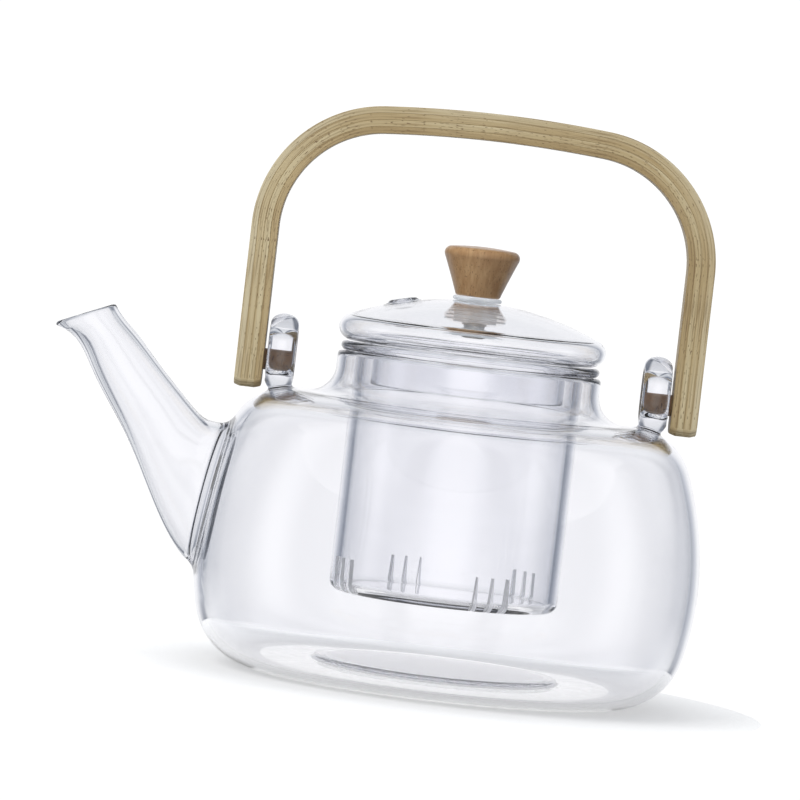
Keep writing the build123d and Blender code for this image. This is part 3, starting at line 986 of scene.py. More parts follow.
@dataclass
class Knob:
    """The turned knob with its screw, washer, gasket and ribbed bush, in mm."""

    foot: float = 113.7
    top: float = 128.5
    foot_radius: float = 6.6
    wide_radius: float = 11.15
    wide_height: float = 125.9
    foot_bend: float = 0.7
    side_bow: float = 1.5
    brim: float = 2.0
    brim_drop: float = 1.0
    brim_inset: float = 0.24
    crown_lean: float = 7.0
    screw_radius: float = 1.95
    thread_depth: float = 0.32
    thread_pitch: float = 0.8
    head_seat: float = 105.3
    head_radius: float = 3.1
    head_height: float = 1.3
    cross: float = 0.9
    cross_reach: float = 0.55
    cross_depth: float = 0.65
    face: tuple[float, ...] = (0.15, 0.3, 0.42, 0.5, 0.62, 0.9, 1.25, 1.55, 1.75, 1.95)
    screw_length: float = 14.6
    washer_radius: float = 3.6
    washer: float = 0.5
    washer_edge: float = 0.15
    play: float = 0.1
    gasket_radius: float = 7.1
    gasket_rim: float = 0.6
    gasket_lean: float = 3.0
    bush_core: float = 6.3
    bush_bottom: float = 105.9
    bush_bend: float = 0.3
    bush_neck: float = 5.0
    bush_head: float = 1.6
    rib: float = 0.5
    rib_root: float = 0.15
    ribs: tuple[tuple[float, float], ...] = ((106.8, 9.1), (107.9, 8.6), (109.0, 7.9), (110.0, 7.2))
    gap: float = 0.05

    def wood(self, finish: bpy.types.Material) -> bpy.types.Object:
        """Turned beech: a side that widens almost straight, a broad rim and a nearly flat top."""
        rise = self.wide_height - self.foot - self.foot_bend
        lean = math.degrees(math.atan2(rise, self.wide_radius - self.foot_radius))
        pen = Pen((0.0, self.foot), 0, 0.8)
        pen.run(self.foot_radius - self.foot_bend).grain(0.25)
        pen.arc(self.foot_bend, lean + self.side_bow)
        across = self.wide_radius - self.brim_inset - pen.at[0]
        chord = math.hypot(across, self.wide_height - self.brim_drop - pen.at[1])
        bow = chord / (2 * math.sin(math.radians(self.side_bow)))
        pen.grain(0.6).arc(bow, -2 * self.side_bow).grain(0.2)
        pen.arc(self.brim, 180 - self.crown_lean - math.degrees(pen.heading)).grain(0.8)
        pen.arc(pen.at[0] / math.sin(math.radians(self.crown_lean)), self.crown_lean)
        piece = spun_piece("knob_turned", pen, 96, finish)
        return place(piece, Body.LID, Slot.KNOB, "lid_knob")

    def screw(self, finish: bpy.types.Material) -> bpy.types.Object:
        """Pan head with a cross recess and a threaded shank.

        The shank's radius at (angle, height) falls by the thread's depth times a rounded triangle
        of height / pitch - angle / turn. The recess pushes points of the head's face up where
        they lie within half its width of either axis.
        """
        columns = 64
        angle = 2 * math.pi / columns * np.arange(columns)
        foot = self.head_seat - self.head_height
        arm, half = self.head_radius * self.cross_reach, self.cross / 2
        recess = self.head_height * self.cross_depth
        face = np.array(self.face)
        x, y = face[:, None] * np.cos(angle), face[:, None] * np.sin(angle)
        level = np.maximum(np.abs(x) - half, np.abs(y) - arm)
        upright = np.maximum(np.abs(y) - half, np.abs(x) - arm)
        sunk = np.clip(-np.minimum(level, upright) / 0.15 + 0.5, 0, 1) * recess
        turn = np.linspace(0, math.pi / 2, 8)[1:, None]
        rim_radius = face[-1] + (self.head_radius - face[-1]) * np.sin(turn)
        rim_height = foot + self.head_height * 0.75 * (1 - np.cos(turn))
        seat = np.array([[self.head_radius], [self.screw_radius]])
        top = self.head_seat + self.screw_length
        height = np.arange(self.head_seat + 0.1, top - 0.5, self.thread_pitch / 8)[:, None]
        phase = height / self.thread_pitch - angle / (2 * math.pi)
        wave = np.abs(2 * (phase - np.floor(phase)) - 1)
        depth = self.thread_depth * np.clip(1.25 * wave - 0.1, 0, 1)
        fade = np.clip((height - self.head_seat - 0.3) / 0.5, 0, 1)
        rows = [
            about_axis(face[:, None], angle, foot + sunk),
            about_axis(rim_radius, angle, rim_height),
            about_axis(seat, angle, self.head_seat),
            about_axis(self.screw_radius - depth * fade, angle, height),
            about_axis(np.array([[self.screw_radius - 0.5]]), angle, top),
        ]
        writer = MeshWriter()
        numbers = writer.points(np.concatenate(rows))
        writer.skin(numbers, wrap=True)
        writer.fan(numbers[0], np.array([0.0, 0.0, foot + recess]))
        writer.fan(numbers[-1], np.array([0.0, 0.0, top]))
        piece = writer.finish("screw_threaded", [finish])
        piece.data.set_sharp_from_angle(angle=math.radians(50))
        return place(piece, Body.LID, Slot.STEEL, "knob_screw")

    def plate_washer(self, finish: bpy.types.Material) -> bpy.types.Object:
        """Stamped washer with a rounded rim, a closed ring round the shank."""
        edge, inner = self.washer_edge, self.screw_radius + self.play
        pen = Pen((inner + edge, self.head_seat + self.gap), 0, 0.4)
        for _ in range(2):
            pen.grain(0.4).run(self.washer_radius - inner - 2 * edge).grain(0.08).arc(edge, 90)
            pen.run(self.washer - 2 * edge).arc(edge, 90)
        piece = spun_piece("washer_stamped", pen, 64, finish, ring=True)
        return place(piece, Body.LID, Slot.STEEL, "screw_washer")

    def gasket(self, finish: bpy.types.Material, dome: Callable[[float], float]) -> bpy.types.Object:
        """Soft ring between the dome and the knob, its rim bulging a little where it is squeezed."""
        top = self.foot - self.gap
        inner, lean = self.screw_radius + 3 * self.play, self.gasket_lean
        pen = Pen((inner, top), 270, 0.4)
        pen.run(top - dome(inner) - 2 * self.gap)
        pen.heading = math.radians(-lean)
        pen.run(self.gasket_radius - self.gasket_rim - inner).grain(0.15)
        pen.arc((top - pen.at[1]) / (1 + math.cos(math.radians(lean))), 180 + lean).grain(0.4)
        pen.run(pen.at[0] - inner)
        piece = spun_piece("gasket_moulded", pen, 96, finish, ring=True)
        return place(piece, Body.LID, Slot.SILICONE, "upper_gasket")

    def bush(self, finish: bpy.types.Material, dome: Callable[[float], float]) -> bpy.types.Object:
        """Ribbed plug under the dome: each rib is a thin disc with a rounded edge."""
        inner = self.screw_radius + self.play
        half, bend, root = self.rib / 2, self.bush_bend, self.rib_root
        pen = Pen((inner, self.bush_bottom), 0, 0.5)
        pen.run(self.bush_core - bend - inner).grain(0.12).arc(bend, 90)
        for height, radius in self.ribs:
            pen.run(max(height - half - root - pen.at[1], 0.01)).arc(root, -90)
            pen.run(radius - half - pen.at[0]).arc(half, 180)
            pen.run(pen.at[0] - self.bush_core - root).arc(root, -90)
        top = dome(self.bush_core) - 2 * self.gap
        pen.run(top - bend - pen.at[1]).arc(bend, 90).run(pen.at[0] - self.bush_neck)
        pen.heading = math.radians(90)
        pen.run(self.foot - self.bush_head - pen.at[1]).arc(bend, 90).run(pen.at[0] - inner)
        pen.heading = math.radians(270)
        pen.run(pen.at[1] - self.bush_bottom)
        piece = spun_piece("bush_moulded", pen, 96, finish, ring=True)
        return place(piece, Body.LID, Slot.SILICONE, "lower_bush")


# ------------------------------------------------------------------------------ handle


@dataclass
class Handle:
    """The bail: bamboo strips glued face to face and bent, on two pegs, in mm."""

    half_span: float = 67.3
    bottom: float = 80.3
    top: float = 166.8
    corner: float = 38.0
    corner_height: float = 127.5
    depth: float = 12.6
    end_round: float = 2.4
    end_corner: float = 1.1
    ply: float = 1.95
    ply_edge: tuple[float, ...] = (0.0, 0.05, 0.18)
    ply_corner: float = 0.03
    ply_margin: float = 1.4
    names: tuple[str, ...] = (
        "handle_outer_ply", "handle_second_ply", "handle_third_ply", "handle_inner_ply",
    )
    pivot: float = 88.8
    peg_radius: float = 3.1
    peg_tip: float = 50.8
    peg_end: float = 64.6
    peg_dome: float = 1.6
    peg_edge: float = 0.3
    row_step: float = 1.6

    def line(self, step: float) -> Pen:
        """The strips' outer line from one leg's end over the top to the other's."""
        run = self.half_span - self.corner
        rise = self.top - self.corner_height
        crown = (run**2 + rise**2 - self.corner**2) / (2 * (rise - self.corner))
        turn = math.degrees(math.asin(run / (crown - self.corner)))
        pen = Pen((self.half_span, self.bottom), 90, step)
        leg = self.corner_height - self.bottom
        pen.run(leg).arc(self.corner, 90 - turn).arc(crown, 2 * turn)
        return pen.arc(self.corner, 90 - turn).run(leg)

    def end_lift(self, inset: Array, across: Array) -> Array:
        """How far above the legs' end the glued strips stop, where both their edges are rounded."""
        total = self.ply * len(self.names)
        edge = np.minimum(inset, total - inset)
        over = np.clip(self.end_corner - edge, 0, self.end_corner)
        side = np.clip(np.abs(across) - self.depth / 2 + self.end_round, 0, self.end_round)
        lift = self.end_corner - np.sqrt(np.clip(self.end_corner**2 - over**2, 0, None))
        return lift + self.end_round - np.sqrt(np.clip(self.end_round**2 - side**2, 0, None))

    def strip(self, number: int, finish: bpy.types.Material) -> bpy.types.Object:
        """One ply, the section's edge carried along the line and both its ends closed.

        A point is the line at a length, less its inset along the line's normal, at its place
        across the strip. Lengths are spread between the two ends' lifts.

        Args:
            number: 0 for the outer strip.
            finish: its material.

        Returns:
            The strip's object.
        """
        edge = np.array(self.ply_edge)
        inset = np.concatenate([edge, self.ply - edge[::-1]])
        half = self.depth / 2
        middle = np.linspace(-half + self.ply_margin, half - self.ply_margin, 7)
        across = np.concatenate([-half + edge, middle, half - edge[::-1]])
        row, column = edge_of_block(np.arange(len(inset)), np.arange(len(across)))
        flat = np.stack(np.meshgrid(inset, across, indexing="ij"), axis=-1)
        for at_inset, in_sign in ((0, 1), (-1, -1)):
            for at_across, across_sign in ((0, 1), (-1, -1)):
                flat[at_inset, at_across] += self.ply_corner * np.array([in_sign, across_sign])
        start = number * self.ply
        fine = self.line(0.2)
        points, places = fine.points, fine.places
        tangent = np.gradient(points, places, axis=0)
        tangent /= np.linalg.norm(tangent, axis=1, keepdims=True)

        def on_line(length: Array, inside: Array, aside: Array) -> Array:
            """Points at lengths along the line, insets and places across."""
            x, z = (np.interp(length, places, points[:, axis]) for axis in (0, 1))
            normal = (tangent[:, 1], -tangent[:, 0])
            out_x, out_z = (np.interp(length, places, part) for part in normal)
            return np.stack([x - inside * out_x, aside + 0 * x, z - inside * out_z], axis=-1)

        total = places[-1]
        share = np.linspace(0, 1, math.ceil(total / self.row_step))
        edge_in, edge_across = flat[row, column].T
        lift = self.end_lift(start + edge_in, edge_across)
        length = lift + share[:, None] * (total - 2 * lift)
        writer = MeshWriter()
        sleeve = writer.points(on_line(length, start + edge_in, edge_across))
        sides = np.hypot(np.diff(edge_in), np.diff(edge_across))
        around = np.concatenate([[0], np.cumsum(sides), [2 * (self.depth + self.ply)]])
        length = np.concatenate([length, length[:, :1]], axis=1)
        places_of = np.stack([length, around + 0 * length], axis=-1)
        writer.skin(sleeve, wrap=True, places=places_of)
        for end in (0, -1):
            cap = np.zeros(flat.shape[:2], int)
            cap[row, column] = sleeve[end]
            inner_in, inner_across = flat[1:-1, 1:-1, 0], flat[1:-1, 1:-1, 1]
            lift = self.end_lift(start + inner_in, inner_across)
            at = lift if end == 0 else total - lift
            cap[1:-1, 1:-1] = writer.points(on_line(at, start + inner_in, inner_across))
            writer.skin(cap, places=flat + np.array([3 * total, 2.0]))
        piece = writer.finish(f"bamboo_strip_{number + 1}", [finish])
        return place(piece, Body.HANDLE, Slot.BAMBOO, self.names[number])

    def peg(self, side: int, finish: bpy.types.Material) -> bpy.types.Object:
        """Turned dowel with a domed tip, lying along X through the leg."""
        length = self.peg_end - self.peg_tip
        dome, edge = self.peg_dome, self.peg_edge
        pen = Pen((0.0, 0.0), 0, 0.4)
        pen.run(self.peg_radius - dome).grain(0.15).arc(dome, 90).grain(0.8)
        pen.run(length - dome - edge).grain(0.1).arc(edge, 90).grain(0.5)
        pen.run(self.peg_radius - edge)

        def lie(points: Array) -> Array:
            """Lays the dowel along X with its tip towards the pot's axis."""
            along, rise = self.peg_tip + points[..., 2], self.pivot + side * points[..., 1]
            return np.stack([side * along, points[..., 0], rise], axis=-1)

        name, node = ("peg_spout_side", "spout_side_peg") if side < 0 else ("peg_rear", "rear_peg")
        piece = spun_piece(name, pen, 48, finish, lie=lie)
        return place(piece, Body.HANDLE, Slot.PEG, node)


# ------------------------------------------------------------------------------ finishes


Tree = bpy.types.NodeTree
Socket = bpy.types.NodeSocket
# A Mix node that blends colours: its setting, its three inputs and its output.
COLOURS = {"data_type": "RGBA"}
SHARE, FIRST, SECOND, BLENDED = 0, 6, 7, 2
UNSCALED = (1.0, 1.0, 1.0)


def colour(code: str) -> tuple[float, float, float, float]:
    """Linear colour of an sRGB hex code such as #C8B48A."""
    parts = [int(code[at : at + 2], 16) / 255 for at in (1, 3, 5)]
    linear = [
        part / 12.92 if part <= 0.04045 else ((part + 0.055) / 1.055) ** 2.4 for part in parts
    ]
    return (*linear, 1.0)


def node(tree: Tree, kind: str, settings: dict, links: dict) -> bpy.types.Node:
    """Adds a node.

    Args:
        tree: where it goes.
        kind: the last part of its type's name, after ShaderNode.
        settings: values of its attributes or unlinked inputs, where an input's hex code is a
            colour, and under "stops" a ramp's hex codes at places from 0 to 1.
        links: the output that each linked input takes.

    Returns:
        The new node.
    """
    made = tree.nodes.new("ShaderNode" + kind)
    for name, value in settings.items():
        if name == "stops":
            set_stops(made.color_ramp, value)
        elif isinstance(name, str) and hasattr(made, name):
            setattr(made, name, value)
        else:
            made.inputs[name].default_value = colour(value) if isinstance(value, str) else value
    for name, output in links.items():
        tree.links.new(output, made.inputs[name])
    return made


def set_stops(ramp: bpy.types.ColorRamp, stops: dict[float, str]) -> None:
    """Puts colours by hex code at places from 0 to 1 on a ramp."""
    while len(ramp.elements) < len(stops):
        ramp.elements.new(0.5)
    for element, (at, code) in zip(ramp.elements, sorted(stops.items())):
        element.position, element.color = at, colour(code)


def hold(shader: bpy.types.Node, values: dict[str, float | str]) -> None:
    """Sets what is the same all over a surface on the shader's own inputs."""
    for name, value in values.items():
        shader.inputs[name].default_value = colour(value) if isinstance(value, str) else value


@dataclass(frozen=True)
class Finish:
    """A material: its name, and how its nodes are laid."""

    name: str

    def make(self) -> bpy.types.Material:
        """Makes the material. Returns it."""
        material = bpy.data.materials.new(self.name)
        material.use_nodes = True
        tree = material.node_tree
        shader = next(part for part in tree.nodes if part.type == "BSDF_PRINCIPLED")
        self.dress(tree, shader)
        return material

    def dress(self, tree: Tree, shader: bpy.types.Node) -> None:
        """Lays the nodes. Each finish has its own."""

    def spot(self, tree: Tree, scale: tuple[float, float, float]) -> Socket:
        """Object coordinates times a scale per axis, so that a cell of 1 is 1 / scale metres."""
        where = node(tree, "TexCoord", {}, {})
        made = node(tree, "Mapping", {"Scale": scale}, {"Vector": where.outputs["Object"]})
        return made.outputs["Vector"]

    def cells(
        self, tree: Tree, size_mm: tuple[float, float, float], detail: float, **more: float
    ) -> Socket:
        """Lays a soft random pattern.

        Args:
            tree: where it goes.
            size_mm: real size of a cell along each axis.
            detail: how many finer octaves it has.
            more: the noise's other settings.

        Returns:
            The pattern's output, about 0.3 to 0.7.
        """
        where = self.spot(tree, tuple(1 / (size * MM) for size in size_mm))
        settings = {"Scale": 1.0, "Detail": detail, **more}
        return node(tree, "TexNoise", settings, {"Vector": where}).outputs["Fac"]

    def roughen(
        self, tree: Tree, shader: bpy.types.Node, pattern: Socket, low: float, high: float
    ) -> None:
        """Lets a pattern vary the roughness from low to high."""
        spread = {"From Min": 0.3, "From Max": 0.7, "To Min": low, "To Max": high}
        rough = node(tree, "MapRange", spread, {"Value": pattern})
        tree.links.new(rough.outputs["Result"], shader.inputs["Roughness"])

    def emboss(
        self, tree: Tree, shader: bpy.types.Node, pattern: Socket, strength: float, mm: float
    ) -> None:
        """Lets a pattern stand up from the surface by a height in mm."""
        settings = {"Strength": strength, "Distance": mm * MM}
        bump = node(tree, "Bump", settings, {"Height": pattern})
        tree.links.new(bump.outputs["Normal"], shader.inputs["Normal"])


@dataclass(frozen=True)
class BlownGlass(Finish):
    """Borosilicate glass, lampworked and fire polished: clear, with a faint cool grey in its depth.

    The surface is mirror smooth but wavy over a couple of centimetres, as blown glass is.
    """

    tint: str = "#FEFEFF"
    depth_tint: str = "#C6C8DC"
    density: float = 7.0
    wave_mm: float = 19.0
    wave_height_mm: float = 0.035
    haze: float = 0.012
    ior: float = 1.473

    def dress(self, tree: Tree, shader: bpy.types.Node) -> None:
        """Clear transmission, faint waves and haze, and absorption through the thickness."""
        hold(shader, {"Base Color": self.tint, "Transmission Weight": 1.0, "IOR": self.ior})
        waves = self.cells(tree, (self.wave_mm,) * 3, 1.0)
        self.emboss(tree, shader, waves, 0.5, self.wave_height_mm)
        spread = {"From Min": 0.3, "From Max": 0.8, "To Min": 0.0, "To Max": self.haze}
        haze = node(tree, "MapRange", spread, {"Value": waves})
        tree.links.new(haze.outputs["Result"], shader.inputs["Roughness"])
        deep = {"Color": self.depth_tint, "Density": self.density}
        depth = node(tree, "VolumeAbsorption", deep, {})
        output = next(part for part in tree.nodes if part.type == "OUTPUT_MATERIAL")
        tree.links.new(depth.outputs["Volume"], output.inputs["Volume"])


@dataclass(frozen=True)
class GroundGlass(BlownGlass):
    """The same glass where it was cut or pressed on a rough mould: translucent and faintly milky."""

    roughness: float = 0.6
    grit_mm: float = 0.35
    clearness: float = 0.8
    milk: str = "#F2F3F6"
    scatter: float = 0.2

    def dress(self, tree: Tree, shader: bpy.types.Node) -> None:
        """The blown glass, with a grain of fine grit in place of its haze.

        The faint emission stands for the light that a ground surface scatters.
        """
        super().dress(tree, shader)
        hold(shader, {"Transmission Weight": self.clearness})
        hold(shader, {"Emission Color": self.milk, "Emission Strength": self.scatter})
        grit = self.cells(tree, (self.grit_mm,) * 3, 3.0)
        self.roughen(tree, shader, grit, self.roughness * 0.7, self.roughness * 1.3)


@dataclass(frozen=True)
class ClearSilicone(Finish):
    """Moulded clear silicone: soft, slightly milky and glossy."""

    tint: str = "#F4F6F8"
    mould_mm: float = 0.6
    clearness: float = 0.5
    milk: str = "#EEF1F5"
    scatter: float = 0.12
    ior: float = 1.41
    roughness: tuple[float, float] = (0.04, 0.1)

    def dress(self, tree: Tree, shader: bpy.types.Node) -> None:
        """Half clear transmission with the mould's fine texture.

        The faint emission stands for the light that the milky body scatters.
        """
        hold(shader, {"Base Color": self.tint, "Transmission Weight": self.clearness})
        hold(shader, {"IOR": self.ior})
        hold(shader, {"Emission Color": self.milk, "Emission Strength": self.scatter})
        grain = self.cells(tree, (self.mould_mm,) * 3, 2.0)
        self.roughen(tree, shader, grain, *self.roughness)


@dataclass(frozen=True)
class LacqueredBeech(Finish):
    """Turned beech under satin lacquer: fine short flecks along the grain and a soft highlight."""

    pale: str = "#D0AA7C"
    warm: str = "#B68C5C"
    fleck: str = "#8A673F"
    shade: str = "#E6DCD2"
    grain_mm: float = 1.1
    fleck_mm: float = 0.32
    roughness: tuple[float, float] = (0.3, 0.48)
    coat: float = 0.35

    def dress(self, tree: Tree, shader: bpy.types.Node) -> None:
        """Bands of growth along Z, flecks eight times as long as they are wide, and a thin coat."""
        grain, fine = self.grain_mm, self.fleck_mm
        bands = self.cells(tree, (grain, grain * 2, grain * 14), 3.0, Roughness=0.55)
        flecks = self.cells(tree, (fine, fine, fine * 8), 1.0)
        where = self.spot(tree, UNSCALED)
        broad = node(tree, "TexNoise", {"Scale": 90.0, "Detail": 1.0}, {"Vector": where})
        wood = node(
            tree, "ValToRGB", {"stops": {0.32: self.warm, 0.66: self.pale}}, {"Fac": bands}
        ).outputs["Color"]
        shade = node(
            tree, "ValToRGB", {"stops": {0.35: self.shade, 0.65: "#FFFFFF"}}, {"Fac": broad.outputs["Fac"]}
        ).outputs["Color"]
        darken = {"blend_type": "MULTIPLY", SHARE: 0.8}
        wood = node(
            tree, "Mix", {**COLOURS, **darken}, {FIRST: wood, SECOND: shade}
        ).outputs[BLENDED]
        spots = node(
            tree, "ValToRGB", {"stops": {0.3: "#000000", 0.36: "#FFFFFF"}}, {"Fac": flecks}
        ).outputs["Color"]
        wood = node(
            tree, "Mix", {**COLOURS, FIRST: self.fleck}, {SHARE: spots, SECOND: wood}
        ).outputs[BLENDED]
        tree.links.new(wood, shader.inputs["Base Color"])
        self.roughen(tree, shader, bands, *self.roughness)
        self.emboss(tree, shader, flecks, 0.35, 0.05)
        hold(shader, {"Coat Weight": self.coat, "Coat Roughness": 0.22})


@dataclass(frozen=True)
class OiledBamboo(Finish):
    """A split of bamboo, planed, bent and oiled: straight fibres, dark flecks, glue at its edges.

    The map runs along the strip and then round its section, both in mm, so the fibres follow the
    bend.
    """

    pale: str = "#DDCDA6"
    warm: str = "#BBA372"
    dark: str = "#7C6240"
    line: str = "#8F7247"
    glue: str = "#A48A5C"
    speck_share: float = 0.24
    speck_mm: tuple[float, float] = (1.6, 0.28)
    fibre_mm: float = 0.42
    fibre_length: float = 34.0
    band_mm: float = 2.6
    band_length: float = 24.0
    glue_mm: float = 0.1
    depth_mm: float = 12.6
    ply_mm: float = 1.95

    def streaks(
        self, tree: Tree, where: Socket, size_mm: tuple[float, float], detail: float
    ) -> Socket:
        """A soft random pattern on the map, its cells this long along it and wide round it."""
        scale = (1 / size_mm[0], 1 / size_mm[1], 1)
        made = node(tree, "Mapping", {"Scale": scale}, {"Vector": where})
        settings = {"Scale": 1.0, "Detail": detail}
        noise = node(tree, "TexNoise", settings, {"Vector": made.outputs["Vector"]})
        return noise.outputs["Fac"]

    def seams(self, tree: Tree, where: Socket) -> Socket:
        """Black at the strip's four edges, where the glue is, and white between them."""
        total = self.depth_mm + self.ply_mm
        split = node(tree, "SeparateXYZ", {}, {"Vector": where})
        wrap = {"operation": "WRAP", 1: total, 2: 0.0}
        side = node(tree, "Math", wrap, {0: split.outputs["Y"]})
        divide = {"operation": "DIVIDE", 1: total}
        share = node(tree, "Math", divide, {0: side.outputs["Value"]})
        at, near = self.depth_mm / total, self.glue_mm / total
        stops = {0.0: "#000000", at: "#000000", 1.0: "#000000"}
        stops.update({place: "#FFFFFF" for place in (near, at - near, at + near, 1 - near)})
        ramp = node(tree, "ValToRGB", {"stops": stops}, {"Fac": share.outputs["Value"]})
        return ramp.outputs["Color"]

    def dress(self, tree: Tree, shader: bpy.types.Node) -> None:
        """Fibres and bands many times as long as they are wide, flecks, and the glue lines."""
        where = node(tree, "UVMap", {"uv_map": "Surface"}, {}).outputs["UV"]
        fibre, band = self.fibre_mm, self.band_mm
        fibres = self.streaks(tree, where, (fibre * self.fibre_length, fibre), 3.0)
        bands = self.streaks(tree, where, (band * self.band_length, band), 2.0)
        specks = self.streaks(tree, where, self.speck_mm, 0.0)
        wood = node(
            tree, "ValToRGB", {"stops": {0.3: self.warm, 0.62: self.pale}}, {"Fac": bands}
        ).outputs["Color"]
        lines = node(
            tree, "ValToRGB", {"stops": {0.3: self.line, 0.5: "#FFFFFF"}}, {"Fac": fibres}
        ).outputs["Color"]
        darken = {"blend_type": "MULTIPLY", SHARE: 0.6}
        wood = node(
            tree, "Mix", {**COLOURS, **darken}, {FIRST: wood, SECOND: lines}
        ).outputs[BLENDED]
        few = self.speck_share
        spots = node(
            tree, "ValToRGB", {"stops": {few: "#000000", few + 0.04: "#FFFFFF"}}, {"Fac": specks}
        ).outputs["Color"]
        wood = node(
            tree, "Mix", {**COLOURS, FIRST: self.dark}, {SHARE: spots, SECOND: wood}
        ).outputs[BLENDED]
        seams = self.seams(tree, where)
        wood = node(
            tree, "Mix", {**COLOURS, FIRST: self.glue}, {SHARE: seams, SECOND: wood}
        ).outputs[BLENDED]
        tree.links.new(wood, shader.inputs["Base Color"])
        self.roughen(tree, shader, fibres, 0.38, 0.58)
        self.emboss(tree, shader, fibres, 0.4, 0.06)


@dataclass(frozen=True)
class TurnedMetal(Finish):
    """Metal cut on a lathe: bright, with fine rings that scatter its highlights."""

    tint: str = "#A6A39D"
    shine: str = "#D9D6D0"
    roughness: tuple[float, float] = (0.22, 0.42)
    ring_mm: float = 0.12
    spread_mm: float = 2.5

    def dress(self, tree: Tree, shader: bpy.types.Node) -> None:
        """A full metal whose roughness changes from ring to ring up its length."""
        hold(shader, {"Metallic": 1.0})
        rings = self.cells(tree, (self.spread_mm, self.spread_mm, self.ring_mm), 2.0)
        tone = node(
            tree, "ValToRGB", {"stops": {0.3: self.tint, 0.7: self.shine}}, {"Fac": rings}
        ).outputs["Color"]
        tint = node(
            tree, "Mix", {**COLOURS, SHARE: 0.35, FIRST: self.tint}, {SECOND: tone}
        ).outputs[BLENDED]
        tree.links.new(tint, shader.inputs["Base Color"])
        self.roughen(tree, shader, rings, *self.roughness)


@dataclass(frozen=True)
class MattCard(Finish):
    """White card under the pot, with light of its own so that it reads as pale from any side."""

    tint: str = "#CFCFCE"
    shade: str = "#CBCBCA"
    glow: float = 0.46
    rim_glow: float = 0.6
    even_to: float = 0.07
    rim: float = 0.094

    def dress(self, tree: Tree, shader: bpy.types.Node) -> None:
        """A matt white with a faint mottle and some light of its own, more towards its rim."""
        where = self.spot(tree, UNSCALED)
        mottle = node(tree, "TexNoise", {"Scale": 40.0, "Detail": 2.0}, {"Vector": where})
        tone = node(
            tree, "ValToRGB", {"stops": {0.3: self.shade, 0.7: self.tint}}, {"Fac": mottle.outputs["Fac"]}
        ).outputs["Color"]
        tree.links.new(tone, shader.inputs["Base Color"])
        hold(shader, {"Roughness": 0.9, "Emission Color": "#FFFFFF"})
        reach = node(tree, "VectorMath", {"operation": "LENGTH"}, {0: where})
        spread = {
            "From Min": self.even_to, "From Max": self.rim,
            "To Min": self.glow, "To Max": self.rim_glow,
        }
        light = node(tree, "MapRange", spread, {"Value": reach.outputs["Value"]})
        tree.links.new(light.outputs["Result"], shader.inputs["Emission Strength"])


# ------------------------------------------------------------------------------ studio


